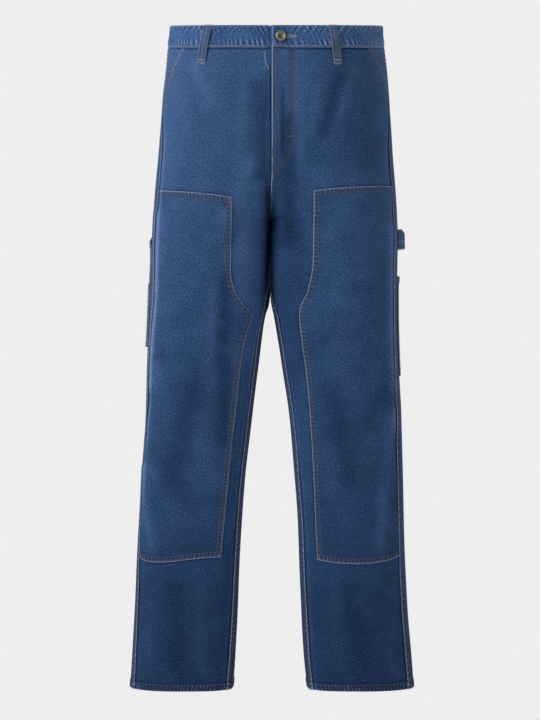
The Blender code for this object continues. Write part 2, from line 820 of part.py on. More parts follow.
def button():
    """A round metal button with a sunken middle, on the band's lapping end."""
    turn = turn_at("left", BUTTON_X, 0.0, 0.0, 1.0)
    level = band_level("left", turn, 0.0)
    normal = cloth_normal("left", turn, level)
    seat = cloth_point("left", turn, level) + normal * BAND_OUTER
    profile = bpy.data.meshes.new("button")
    points = [(radius * MM, 0.0, height * MM) for radius, height in BUTTON_PROFILE]
    profile.from_pydata(points, [(i, i + 1) for i in range(len(points) - 1)], [])
    piece = add_piece("button", profile, "button_metal")
    piece.location = seat * MM
    piece.rotation_euler = normal.to_track_quat("Z", "Y").to_euler()
    screw = piece.modifiers.new("turned", "SCREW")
    screw.steps = screw.render_steps = BUTTON_STEPS
    screw.use_merge_vertices = True
    screw.merge_threshold = 0.00001
    screw.use_smooth_shade = True


def clear_scene():
    for old in list(bpy.data.objects):
        bpy.data.objects.remove(old, do_unlink=True)
    garment = bpy.data.collections.new("carpenter_pants")
    bpy.context.scene.collection.children.link(garment)
    garment.objects.link(bpy.data.objects.new("waist", None))


def main():
    clear_scene()
    waistband()
    for side in SIDES:
        front_panel(side)
        back_panel(side)
        knee_patch(side)
        pocket_facing(side)
    coin_pocket()
    tool_pockets()
    hammer_loop()
    back_pockets()
    belt_loops()
    button()


main()
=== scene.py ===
"""Carpenter pants with double knees: washed denim, sewing and metal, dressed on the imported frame.

Tables and sizes of the cloth are in millimetres, as the garment's own source has them; MM turns them into
the metres of the meshes. The front faces -Y, +X is the wearer's left and the waist is at the origin.
"""

import json
import math
from collections import namedtuple
from functools import partial

import bmesh
import bpy
import numpy as np
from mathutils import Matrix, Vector
from mathutils.bvhtree import BVHTree

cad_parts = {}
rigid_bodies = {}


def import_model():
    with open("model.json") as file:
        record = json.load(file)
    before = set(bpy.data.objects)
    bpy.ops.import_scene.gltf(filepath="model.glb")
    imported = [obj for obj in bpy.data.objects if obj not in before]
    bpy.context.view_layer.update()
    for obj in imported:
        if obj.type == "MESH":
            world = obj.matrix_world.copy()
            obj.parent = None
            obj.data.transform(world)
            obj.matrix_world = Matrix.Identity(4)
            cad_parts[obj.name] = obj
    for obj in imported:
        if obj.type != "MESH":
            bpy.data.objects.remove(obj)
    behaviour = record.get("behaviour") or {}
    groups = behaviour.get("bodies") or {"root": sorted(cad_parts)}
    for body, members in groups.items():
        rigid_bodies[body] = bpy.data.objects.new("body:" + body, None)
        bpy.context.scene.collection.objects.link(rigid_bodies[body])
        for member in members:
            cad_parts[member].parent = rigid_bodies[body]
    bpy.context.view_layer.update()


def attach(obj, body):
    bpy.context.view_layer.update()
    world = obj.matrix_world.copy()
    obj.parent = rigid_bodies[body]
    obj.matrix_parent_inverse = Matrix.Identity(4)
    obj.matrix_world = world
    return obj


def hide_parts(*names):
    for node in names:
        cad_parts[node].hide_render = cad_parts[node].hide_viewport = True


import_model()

bl_info = {
    "name": "Carpenter pants",
    "version": (1, 0, 0),
    "blender": (4, 5, 0),
    "location": "View3D > Sidebar > Pants",
    "description": "Dresses the carpenter pants in washed denim, sewing and metal",
    "category": "Object",
}

MM = 0.001
BODY = "root"
RIGHT, LEFT = "right", "left"
SIDES = {RIGHT: -1.0, LEFT: 1.0}

# The cloth's form, as in the garment's source
WALL = 1.2
GAP = 0.3
BAND_HALF_HEIGHT = 17.5
BAND_OUTER = 1.0
BAND_INNER = -1.4
BAND_TILT = 0.17
BAND_LEVEL_Y = 5.0
CROTCH_LEVEL = -296.0
FRONT_CURVE_HEIGHT = 92.0
BACK_CURVE_HEIGHT = 135.0
CURVE_POWER = 2.2
CREASE_POWER = 1.5
ROUNDNESS_OUTER = 2.25
ROUNDNESS_THIGH = 3.2
SIDE_SHIFT = 0.4
HEM_LEVEL = -1041.0
SIDE_SEAM_TURN = 1.845
INSEAM_LEAD = 0.2
INSEAM_LEAD_HEIGHT = 124.0
SLIT_LEAN = 0.08
SLIT_REACH = 18.0
SLIT_START_HEIGHT = 35.0
SLIT_END_LEVEL = -452.0
SLIT_END_HEIGHT = 30.0
SEAM_INSET = 0.15
FLY_EDGE_X = 1.0
FLY_RAISE = 1.5
FLY_FLAT_WIDTH = 18.0
FLY_SLOPE_END = 40.0
FLY_END_LINE = 7.0
PATCH_BOTTOM_SAG = 12.0
PATCH_SAG_SKEW = {RIGHT: 1.8, LEFT: 1.0}
PATCH_SAG_LINES = 4.0
PATCH_EDGE_TURN = 0.8
PATCH_EDGE_LIMIT = 1.95
POCKET_MOUTH_TOP = {RIGHT: 140.0, LEFT: 156.0}
POCKET_TOP_LEVEL = -30.0
HAMMER_LOOP_BOW = 14.0
HAMMER_LOOP_POWER = 0.7
TOOL_POCKET_GAPE = 3.0
POCKET_END_LINE = 5.0
PATCH_TOP_LINE = 10.0
CROTCH_LINE = 12.0
PATCH_BOTTOM_LINE = 29.0
LAST_LINE = 35.0
FRONT_INNER_COLUMNS = 4.0
FRONT_COLUMNS = 12.0
BACK_COLUMNS = 14.0
TOOL_COLUMNS = 6.0
SMALL_POCKET_COLUMNS = 3.0
FACING_COLUMNS = 3.0
TOOL_POCKET_LINES = {RIGHT: (14.0, 20.0), LEFT: (16.0, 22.0)}
RULE_POCKET_LINES = (16.0, 20.0)
HAMMER_LOOP_LINES = (13.0, 14.0)
BACK_POCKET_LINES = (3.0, 9.0)
BACK_POCKET_COLUMNS = (4.0, 10.0)
COIN_POCKET_TOP_LINE = 2.0


def table(kind, *rows):
    """Rows of numbers with named columns."""
    return tuple(kind(*row) for row in rows)


def folds(side, face, *rows):
    """Folds that lie on one face of one half of the garment."""
    return tuple(Fold(side, face, *row) for row in rows)


Section = namedtuple("Section", "level right_out left_out right_in left_in front back apex inner_y")
SECTIONS = table(
    Section,
    (60, 157.0, 174.0, 0.0, 0.0, 98, 110, 0.24, -2),
    (18, 160.0, 177.3, 0.0, 0.0, 101, 117, 0.25, -2),
    (-20, 164.6, 180.8, 0.0, 0.0, 104, 125, 0.27, -2),
    (-60, 168.2, 185.6, 0.0, 0.0, 111, 136, 0.30, -2),
    (-100, 173.0, 189.0, 0.0, 0.0, 116, 146, 0.33, -2),
    (-150, 177.0, 192.6, 0.0, 0.0, 119, 151, 0.37, -2),
    (-200, 181.2, 195.8, 0.0, 0.0, 119, 150, 0.41, -2),
    (-250, 185.4, 199.6, 0.0, 0.0, 114, 140, 0.45, -2),
    (-296, 188.4, 201.6, 0.15, 0.15, 107, 127, 0.48, -2),
    (-330, 189.8, 202.4, 0.5, 0.5, 101, 117, 0.50, 3),
    (-400, 192.4, 201.9, 1.3, 1.1, 90, 103, 0.50, 10),
    (-424, 193.3, 202.0, 3.4, 2.2, 87, 99, 0.50, 11),
    (-432, 193.6, 202.0, 4.4, 2.4, 86, 98, 0.50, 11),
    (-446, 194.2, 202.1, 8.4, 4.6, 84, 96, 0.50, 10),
    (-480, 195.8, 202.8, 14.4, 10.0, 80, 92, 0.50, 8),
    (-520, 198.0, 204.2, 19.6, 16.4, 75, 88, 0.50, 6),
    (-600, 200.3, 208.0, 29.2, 28.8, 68, 81, 0.50, 5),
    (-700, 207.0, 211.2, 40.6, 37.6, 60, 76, 0.50, 7),
    (-800, 213.0, 213.6, 48.4, 43.9, 54, 74, 0.50, 9),
    (-900, 217.6, 217.6, 52.8, 48.0, 50, 72, 0.50, 10),
    (-1000, 223.0, 225.8, 57.6, 53.4, 47, 70, 0.50, 11),
    (-1046, 226.0, 229.2, 61.2, 58.0, 46, 69, 0.50, 11),
)

LinePlace = namedtuple("LinePlace", "line inner patch side pocket")
LINES = {
    RIGHT: table(
        LinePlace,
        (5, None, -137, -118, -120),
        (10, None, -267, -249, -236),
        (12, -296, -305, -290, -262),
        (14, -338, -360, -341, -300),
        (16, -384, -410, -398, -386),
        (18, -430, -448, -448, -442),
        (20, -490, -505, -498, -498),
        (29, -826, -829, -824, -824),
        (35, HEM_LEVEL, HEM_LEVEL, HEM_LEVEL, HEM_LEVEL),
    ),
    LEFT: table(
        LinePlace,
        (5, None, -132, -122, -124),
        (10, None, -257, -243, -240),
        (12, -296, -299, -285, -276),
        (13, -316, -321, -311, -303),
        (14, -338, -344, -343, -336),
        (16, -380, -390, -388, -378),
        (18, -425, -443, -440, -436),
        (20, -480, -500, -492, -490),
        (22, -545, -566, -544, -544),
        (29, -831, -833, -819, -819),
        (35, HEM_LEVEL, HEM_LEVEL, HEM_LEVEL, HEM_LEVEL),
    ),
}

EdgePlace = namedtuple("EdgePlace", "level across")
PATCH_EDGE = {
    RIGHT: table(
        EdgePlace,
        (-30, 56),
        (-267, 60),
        (-380, 62.5),
        (-408, 57),
        (-432, 43),
        (-450, 30),
        (-475, 38),
        (-518, 46.5),
        (-596, 55),
        (-690, 65.5),
        (-829, 79),
        (-1041, 98),
    ),
    LEFT: table(
        EdgePlace,
        (-30, 60),
        (-257, 66),
        (-364, 65),
        (-410, 57),
        (-443, 44),
        (-497, 49),
        (-534, 54.5),
        (-590, 60),
        (-660, 65),
        (-834, 73),
        (-1041, 90),
    ),
}

# The largest folds are those of the garment's source; the softer creases are added here
Fold = namedtuple("Fold", "side face across_top level_top across_end level_end width height")
FOLDS = (
    *folds(
        RIGHT,
        "front",
        (20, -95, 17, -235, 13, -4.0),
        (179, -290, 185, -560, 11, 2.5),
        (68, -395, 72, -640, 13, -3.5),
        (202, -690, 187, -815, 11, 3.0),
        (120, -560, 150, -700, 18, -2.5),
        (150, -880, 140, -990, 18, -2.5),
    ),
    *folds(
        LEFT,
        "front",
        (31, -150, 25, -330, 14, -4.0),
        (110, -85, 84, -165, 13, -3.0),
        (182, -310, 188, -560, 11, 3.0),
        (190, -600, 172, -815, 11, 3.0),
        (95, -560, 125, -700, 18, -2.5),
        (130, -880, 150, -1000, 18, -2.5),
    ),
    *folds(
        RIGHT,
        "back",
        (150, -262, 50, -330, 15, -4.0),
        (170, -560, 80, -600, 14, -4.0),
        (180, -625, 90, -650, 14, -3.5),
        (150, -860, 120, -1000, 18, -3.0),
    ),
    *folds(
        LEFT,
        "back",
        (150, -268, 50, -336, 15, -4.0),
        (170, -566, 80, -600, 14, -4.0),
        (180, -630, 90, -662, 14, -3.5),
        (150, -880, 125, -1010, 18, -3.0),
    ),
)
CREASES = (
    *folds(
        RIGHT,
        "front",
        (38, -90, 46, -190, 9, 1.0),
        (120, -60, 92, -120, 10, 1.1),
        (132, -70, 110, -150, 8, -0.9),
        (30, -215, 75, -300, 10, 1.2),
        (24, -262, 58, -330, 9, -1.2),
        (86, -400, 96, -520, 8, 1.0),
        (55, -470, 88, -452, 7, 1.1),
        (52, -492, 80, -480, 7, -1.0),
        (52, -516, 78, -500, 7, 0.9),
        (175, -420, 170, -520, 8, -1.2),
        (196, -600, 190, -690, 9, 1.2),
        (110, -640, 90, -700, 14, 1.0),
        (160, -740, 145, -800, 14, 1.0),
        (105, -850, 112, -1000, 13, 1.3),
        (190, -900, 196, -1010, 12, 1.5),
    ),
    *folds(
        LEFT,
        "front",
        (44, -130, 52, -235, 9, 1.1),
        (130, -70, 108, -140, 9, 1.2),
        (74, -90, 66, -170, 9, 0.9),
        (20, -240, 60, -305, 10, 1.2),
        (18, -300, 52, -345, 9, -1.2),
        (176, -330, 180, -560, 8, -1.4),
        (52, -470, 78, -462, 7, 1.0),
        (62, -500, 90, -486, 8, -0.9),
        (180, -560, 150, -620, 9, -1.3),
        (120, -650, 100, -715, 14, 1.0),
        (195, -640, 188, -760, 9, -1.4),
        (100, -860, 108, -1000, 13, 1.3),
        (190, -880, 198, -1015, 12, 1.5),
    ),
    *folds(
        RIGHT,
        "back",
        (30, -170, 70, -250, 12, 1.3),
        (140, -290, 60, -350, 11, 1.5),
        (120, -420, 80, -470, 13, -1.5),
        (160, -585, 90, -618, 9, 1.6),
        (170, -700, 110, -740, 14, -1.6),
        (190, -880, 182, -1010, 12, 1.6),
    ),
    *folds(
        LEFT,
        "back",
        (30, -175, 70, -255, 12, 1.3),
        (138, -296, 58, -354, 11, 1.5),
        (124, -430, 82, -476, 13, -1.5),
        (160, -590, 92, -626, 9, 1.6),
        (172, -708, 112, -744, 14, -1.6),
        (190, -890, 186, -1012, 12, 1.6),
    ),
)
FOLD_SEAM_FADE = 0.14
FOLD_CENTRE_FADE = 10.0

Loop = namedtuple("Loop", "name side face across_top across_end")
BELT_LOOPS = (
    Loop("belt_loop_front_right", RIGHT, "front", 95.0, 106.0),
    Loop("belt_loop_front_left", LEFT, "front", 93.0, 100.0),
    Loop("belt_loop_side_right", RIGHT, "back", 128.0, 130.0),
    Loop("belt_loop_side_left", LEFT, "back", 140.0, 142.0),
    Loop("belt_loop_back", LEFT, "back", 1.5, 1.5),
)
LOOP_WIDTH = 13.0
LOOP_WALL = 1.8
LOOP_BOW = 2.2
LOOP_BELOW_BAND = 25.0
LOOP_BEND = 6.0
BUTTON_X = 14.6

# How an edge of a sheet is turned: each pair is the distance inside the edge and the drop below the face
FOLD_UNDER = ((8.0, 1.5), (3.0, 1.5), (0.9, 1.3), (0.2, 0.95), (0.0, 0.55), (0.12, 0.2), (0.45, 0.04))
SEWN_DOWN = ((0.5, 1.45), (0.25, 1.3), (0.1, 1.1), (0.0, 0.8), (0.05, 0.45), (0.2, 0.16), (0.5, 0.03))
TUCKED = ((-6.0, 1.2), (-4.0, 1.2), (-2.5, 1.1), (-1.2, 1.0), (-0.4, 0.8), (0.1, 0.6), (0.5, 0.5))
FACE_STEPS = (1.1, 1.9, 2.8, 3.8, 4.9, 6.1, 7.4, 8.8, 10.4, 12.2, 14.2)

BISECTIONS = 26
CURVE_SAMPLES = 400


class ClothSettings(bpy.types.PropertyGroup):
    """Sizes of the sewing and the finish of the cloth."""

    stitch: bpy.props.FloatProperty(
        name="Stitch length", description="From one stitch to the next", default=0.0032, unit="LENGTH"
    )
    thread: bpy.props.FloatProperty(
        name="Thread width", description="Width of a topstitch", default=0.0011, unit="LENGTH"
    )
    pucker: bpy.props.FloatProperty(
        name="Pucker depth",
        description="Height of the ripples along sewn edges",
        default=0.0007,
        unit="LENGTH",
    )
    seed: bpy.props.IntProperty(
        name="Seed", description="Start of the random unevenness of the stitches", default=7
    )


class ColourSettings(bpy.types.PropertyGroup):
    """Colours of the washed denim, the threads and the metal."""

    rubbed: bpy.props.FloatVectorProperty(
        name="Rubbed edge",
        description="Nearly white folds and crests",
        subtype="COLOR",
        default=(0.46, 0.54, 0.78),
    )
    # The worn colour also paints highlights, where the wear and highlight mask carries them.
    light: bpy.props.FloatVectorProperty(
        name="Worn denim",
        description="Where the dye is worn off",
        subtype="COLOR",
        default=(0.15, 0.29, 0.60),
    )
    middle: bpy.props.FloatVectorProperty(
        name="Denim",
        description="The cloth's main colour",
        subtype="COLOR",
        default=(0.036, 0.096, 0.245),
    )
    # The deep colour also paints shade in creases, hollows and beside seams, along with the kept dye.
    dark: bpy.props.FloatVectorProperty(
        name="Deep denim",
        description="Where the dye is kept",
        subtype="COLOR",
        default=(0.004, 0.013, 0.046),
    )
    thread: bpy.props.FloatVectorProperty(
        name="Thread",
        description="Greyish topstitching",
        subtype="COLOR",
        default=(0.138, 0.156, 0.222),
    )
    rust_thread: bpy.props.FloatVectorProperty(
        name="Brown thread",
        description="Stitching of the slanted pockets",
        subtype="COLOR",
        default=(0.2, 0.165, 0.18),
    )
    metal: bpy.props.FloatVectorProperty(
        name="Metal",
        description="Antique metal of the button",
        subtype="COLOR",
        default=(0.32, 0.29, 0.23),
    )


class StageSettings(bpy.types.PropertyGroup):
    """Camera, lamps and floor."""

    distance: bpy.props.FloatProperty(
        name="Camera distance", description="From the waist's plane to the lens", default=3.0, unit="LENGTH"
    )
    key: bpy.props.FloatProperty(
        name="Main lamp", description="Power of the soft lamp at the left", default=52.0, unit="POWER"
    )
    fill: bpy.props.FloatProperty(
        name="Fill lamp", description="Power of the wide lamp at the right", default=6.0, unit="POWER"
    )
    world: bpy.props.FloatProperty(
        name="Studio light", description="Strength of the even light from all round", default=0.21
    )


def cloth_settings():
    return bpy.context.scene.pants_cloth


def colour_settings():
    return bpy.context.scene.pants_colours


def smooth(share):
    """An even start and stop between 0 and 1."""
    share = np.clip(share, 0.0, 1.0)
    return share * share * (3.0 - 2.0 * share)


def bump(distance, width):
    return np.exp(-((distance / width) ** 2))


def read_table(rows, column, level):
    """A table's column at a level, on a curve through its rows that never overshoots them."""
    heights = np.array([row.level for row in rows], float)[::-1]
    values = np.array([getattr(row, column) for row in rows], float)[::-1]
    rises = np.diff(values) / np.diff(heights)
    before, after = rises[:-1], rises[1:]
    total = np.where(before * after > 0.0, before + after, 1.0)
    inner = np.where(before * after > 0.0, 2.0 * before * after / total, 0.0)
    slopes = np.concatenate(([rises[0]], inner, [rises[-1]]))
    level = np.clip(level, heights[0], heights[-1])
    at = np.clip(np.searchsorted(heights, level, side="right") - 1, 0, len(heights) - 2)
    span = heights[at + 1] - heights[at]
    share = (level - heights[at]) / span
    turned = 1.0 - share
    return (
        values[at] * (1.0 + 2.0 * share) * turned**2
        + slopes[at] * span * share * turned**2
        + values[at + 1] * share**2 * (3.0 - 2.0 * share)
        - slopes[at + 1] * span * share**2 * turned
    )


Girth = namedtuple("Girth", "inner outer front back apex side_y inner_y")


def girth(side, level):
    """The sizes of one half of the garment at each level."""
    inner = np.where(level <= CROTCH_LEVEL, read_table(SECTIONS, side + "_in", level), 0.0)
    outer = read_table(SECTIONS, side + "_out", level)
    front = read_table(SECTIONS, "front", level)
    back = read_table(SECTIONS, "back", level)
    apex = inner + read_table(SECTIONS, "apex", level) * (outer - inner)
    inner_y = read_table(SECTIONS, "inner_y", level)
    return Girth(inner, outer, front, back, apex, SIDE_SHIFT * (back - front), inner_y)


def rounded(angle, power):
    """Sine and cosine on a quarter circle that is squared off by a power above 2."""
    across, along = np.sin(angle), np.cos(angle)
    size = (np.abs(across) ** power + np.abs(along) ** power) ** (1.0 / power)
    return across / size, along / size


def inner_arc(size, level, share, reach, height):
    """A point between the centre line (share 0) and the front or back apex (share 1)."""
    along, turned = rounded(share * math.pi / 2.0, ROUNDNESS_THIGH)
    span = size.apex - size.inner
    folded_x = size.inner + span * (1.0 - turned)
    folded_y = size.inner_y + reach * along
    rise = np.maximum(level - CROTCH_LEVEL, 0.0)
    part = np.clip(rise / height, 0.0, 1.0)
    seam = reach * (1.0 - (1.0 - part) ** CURVE_POWER) ** (1.0 / CURVE_POWER)
    dip = reach - seam
    soft_y = size.inner_y + reach - dip * (1.0 + np.cos(math.pi * share)) / 2.0
    crease = (1.0 - part) ** CREASE_POWER
    crease_y = size.inner_y + seam + dip * along
    open_x = (1.0 - crease) * span * share + crease * span * (1.0 - turned)
    open_y = (1.0 - crease) * soft_y + crease * crease_y
    below = level <= CROTCH_LEVEL
    return np.where(below, folded_x, open_x), np.where(below, folded_y, open_y)


def plain_point(side, turn, level):
    """Across and depth of the cloth's face; past the centre of an upper part it crosses to the other half."""
    turn, level = np.broadcast_arrays(np.asarray(turn, float), np.asarray(level, float))
    upper = level > CROTCH_LEVEL
    crossed = upper & ((turn < 0.0) | (turn > 4.0))
    turn = np.where(upper, np.where(turn > 4.0, 8.0 - turn, np.abs(turn)), np.mod(turn, 4.0))
    size = girth(side, level)
    front_reach = -(size.front + size.inner_y)
    front = inner_arc(size, level, np.clip(turn, 0.0, 1.0), front_reach, FRONT_CURVE_HEIGHT)
    back_share = np.clip(4.0 - turn, 0.0, 1.0)
    back = inner_arc(size, level, back_share, size.back - size.inner_y, BACK_CURVE_HEIGHT)
    width = size.outer - size.apex
    across, along = rounded(np.clip(turn - 1.0, 0.0, 1.0) * math.pi / 2.0, ROUNDNESS_OUTER)
    side_front = (size.apex + width * across, size.side_y - (size.side_y + size.front) * along)
    along, across = rounded(np.clip(turn - 2.0, 0.0, 1.0) * math.pi / 2.0, ROUNDNESS_OUTER)
    side_back = (size.apex + width * across, size.side_y + (size.back - size.side_y) * along)
    picks = [turn < 1.0, turn > 3.0, turn < 2.0]
    x = np.select(picks, [front[0], back[0], side_front[0]], side_back[0])
    y = np.select(picks, [front[1], back[1], side_front[1]], side_back[1])
    return np.where(crossed, -x, x), y


def cloth_point(side, turn, level):
    """A point of the cloth's outer face."""
    across, y = plain_point(side, turn, level)
    level = np.broadcast_to(level, across.shape)
    ramp = smooth((CROTCH_LEVEL - level) / SLIT_START_HEIGHT)
    ramp = ramp * smooth((level - SLIT_END_LEVEL) / SLIT_END_HEIGHT)
    inner_y = read_table(SECTIONS, "inner_y", level)
    lean = SLIT_LEAN * ramp * (y - inner_y) * bump(across, SLIT_REACH)
    return np.stack((SIDES[side] * across + lean, y, level), axis=-1)


def cloth_normal(side, turn, level):
    """The outward direction at each point of the cloth."""
    step, drop = 0.004, 0.5
    round_it = cloth_point(side, turn + step, level) - cloth_point(side, turn - step, level)
    down_it = cloth_point(side, turn, level - drop) - cloth_point(side, turn, level + drop)
    normal = SIDES[side] * np.cross(down_it, round_it)
    return normal / np.maximum(np.linalg.norm(normal, axis=-1, keepdims=True), 1e-9)


def on_cloth(side, turn, level):
    """Points of the cloth's face with their outward directions."""
    return cloth_point(side, turn, level), cloth_normal(side, turn, level)


def inseam_turn(level):
    """How far round to the front the inseam lies below the crotch."""
    return INSEAM_LEAD * smooth((CROTCH_LEVEL - level) / INSEAM_LEAD_HEIGHT)


def fold_height(side, turn, level):
    """How far folds and creases move the cloth out along its normal."""
    across = plain_point(side, turn, level)[0]
    level = np.broadcast_to(level, across.shape)
    turn = np.broadcast_to(turn, across.shape)
    at_front = (turn < SIDE_SEAM_TURN) | (turn > 4.0)
    total = np.zeros(across.shape)
    for fold in FOLDS + CREASES:
        if fold.side != side:
            continue
        run = np.array((fold.across_end - fold.across_top, fold.level_end - fold.level_top), float)
        from_x, from_z = across - fold.across_top, level - fold.level_top
        share = np.clip((from_x * run[0] + from_z * run[1]) / run.dot(run), 0.0, 1.0)
        away = np.hypot(from_x - share * run[0], from_z - share * run[1]) / fold.width
        total += np.where(at_front == (fold.face == "front"), fold.height * np.exp(-(away**2)), 0.0)
    seam_fade = smooth(np.abs(turn - SIDE_SEAM_TURN) / FOLD_SEAM_FADE)
    lead = inseam_turn(level)
    inner_fade = smooth(np.minimum(np.abs(turn - lead), np.abs(turn - 4.0 - lead)) / FOLD_SEAM_FADE)
    return total * seam_fade * inner_fade * smooth(across / FOLD_CENTRE_FADE)


def turn_at(side, across, level, lowest, highest):
    """The turn on one face where the cloth is so far from the centre plane."""
    across, level, lowest, highest = np.broadcast_arrays(across, level, lowest, highest)
    rises = plain_point(side, highest, level)[0] > plain_point(side, lowest, level)[0]
    for _halving in range(BISECTIONS):
        middle = (lowest + highest) / 2.0
        short = (plain_point(side, middle, level)[0] < across) == rises
        lowest = np.where(short, middle, lowest)
        highest = np.where(short, highest, middle)
    return (lowest + highest) / 2.0


def band_level(side, turn, offset):
    """The level of a line of the waistband, which slopes down to the front."""
    y = plain_point(side, turn, offset)[1]
    return offset + BAND_TILT * (y - BAND_LEVEL_Y)


def line_level(side, column, line):
    """The level of a grid line at one of the named columns of its table."""
    rows = [row for row in LINES[side] if getattr(row, column) is not None]
    return np.interp(line, [row.line for row in rows], [getattr(row, column) for row in rows])


def inner_level(side, turn, line):
    """The level of a line at the centre seam, evenly along its curve, or at the inseam."""
    top = float(band_level(side, turn, -BAND_HALF_HEIGHT - GAP))
    levels = CROTCH_LEVEL + (top - CROTCH_LEVEL) * np.linspace(0.0, 1.0, CURVE_SAMPLES + 1) ** 3
    depths = plain_point(side, turn, levels + 1e-6)[1]
    lengths = np.concatenate(([0.0], np.cumsum(np.hypot(np.diff(depths), np.diff(levels)))))
    target = lengths[-1] * (1.0 - line / CROTCH_LINE)
    curve = np.interp(target, lengths, levels) + np.maximum(target - lengths[-1], 0.0)
    return np.where(line <= CROTCH_LINE, curve, line_level(side, "inner", line))


def from_band(side, turn, line, level_below):
    """Lines above the pocket's end change evenly from the band's slope to the line there."""
    share = line / POCKET_END_LINE
    return (1.0 - share) * band_level(side, turn, -BAND_HALF_HEIGHT - GAP) + share * level_below


def mouth_turn(side, line):
    """The front panel's outer edge: the pocket mouth, then the side seam."""
    top = float(turn_at(side, POCKET_MOUTH_TOP[side], POCKET_TOP_LEVEL, 1.0, 2.0))
    return top + (SIDE_SEAM_TURN - top) * np.minimum(line / POCKET_END_LINE, 1.0)


def front_place(side, line, column):
    """Turn and level of points of the front panel's grid."""
    below = np.maximum(line, POCKET_END_LINE)
    inner = inner_level(side, 0.0, line)
    inner_below = inner_level(side, 0.0, below)
    patch = line_level(side, "patch", below)
    outer = line_level(side, "side", below)
    above = line < POCKET_END_LINE
    edge_level = np.where(above, from_band(side, PATCH_EDGE_TURN, line, patch), patch)
    across = read_table(PATCH_EDGE[side], "across", edge_level)
    patch_turn = turn_at(side, across, edge_level, inseam_turn(edge_level), PATCH_EDGE_LIMIT)
    start = inseam_turn(inner)
    if side == LEFT:
        edge_x = FLY_EDGE_X * (1.0 - smooth(line - FLY_END_LINE)) + SEAM_INSET
        start = np.where(line < CROTCH_LINE, turn_at(side, edge_x, inner, 0.0, 1.0), start)
    share = column / FRONT_INNER_COLUMNS
    inner_turn = (1.0 - share) * start + share * patch_turn
    inner_side = (1.0 - share) * inner_below + share * patch
    share = (column - FRONT_INNER_COLUMNS) / (FRONT_COLUMNS - FRONT_INNER_COLUMNS)
    outer_turn = (1.0 - share) * patch_turn + share * mouth_turn(side, line)
    sag = PATCH_BOTTOM_SAG * smooth(1.0 - np.abs(line - PATCH_BOTTOM_LINE) / PATCH_SAG_LINES)
    skewed = np.clip(share, 0.0, 1.0) ** PATCH_SAG_SKEW[side]
    outer_side = (1.0 - share) * patch + share * outer - sag * 4.0 * skewed * (1.0 - skewed)
    turn = np.where(column <= FRONT_INNER_COLUMNS, inner_turn, outer_turn)
    level = np.where(column <= FRONT_INNER_COLUMNS, inner_side, outer_side)
    return turn, np.where(above, from_band(side, turn, line, level), level)


def back_place(side, line, column):
    """Turn and level of points of the back panel's grid, from the side seam to the centre back."""
    below = np.maximum(line, POCKET_END_LINE)
    inner = inner_level(side, 4.0, line)
    seam = line_level(side, "side", below)
    pocket = line_level(side, "pocket", below)
    last = 4.0 + inseam_turn(inner)
    turn = SIDE_SEAM_TURN + (last - SIDE_SEAM_TURN) * column / BACK_COLUMNS
    share = column / TOOL_COLUMNS
    outer = pocket + (seam - pocket) * (1.0 - share) ** 2
    share = (column - TOOL_COLUMNS) / (BACK_COLUMNS - TOOL_COLUMNS)
    centre = (1.0 - share) * pocket + share * inner_level(side, 4.0, below)
    level = np.where(column <= TOOL_COLUMNS, outer, centre)
    above = line < POCKET_END_LINE
    return turn, np.where(above, from_band(side, turn, line, level), level)


def facing_place(side, line, column):
    """The cloth behind the pocket mouth runs on from the front panel to the side seam."""
    under = front_place(side, line, FRONT_COLUMNS - 1.0 + np.minimum(column, 1.0))
    start = mouth_turn(side, line)
    turn = start + (SIDE_SEAM_TURN - start) * (column - 1.0) / (FACING_COLUMNS - 1.0)
    seam_level = line_level(side, "side", POCKET_END_LINE)
    level = from_band(side, turn, line, seam_level)
    return np.where(column <= 1.0, under[0], turn), np.where(column <= 1.0, under[1], level)


def beads(along, pitch, seed):
    """A nearly even row of small rises, between -1 and 1."""
    drift = 0.8 * np.sin(along / (pitch * 2.7) + seed) + 0.5 * np.sin(along / (pitch * 0.9) + 2.3 * seed)
    strength = 0.8 + 0.2 * np.sin(along / (pitch * 2.9) + 1.7 * seed)
    return strength * np.sin(2.0 * math.pi * along / pitch + drift + seed)


def ripple(along, pitch, seed):
    """An uneven wave of about one pitch, between -1 and 1."""
    drift = 1.5 * np.sin(along / (pitch * 2.1) + seed) + 1.1 * np.sin(along / (pitch * 0.83) + 2.3 * seed)
    swell = np.sin(along / (pitch * 1.31) + 1.7 * seed) * np.sin(along / (pitch * 3.3) + seed)
    return (0.62 + 0.38 * swell) * np.sin(2.0 * math.pi * along / pitch + drift + seed)


EDGE_ROOM = 0.08
COLUMN_SAMPLES = 181
LINE_STEP = 0.2


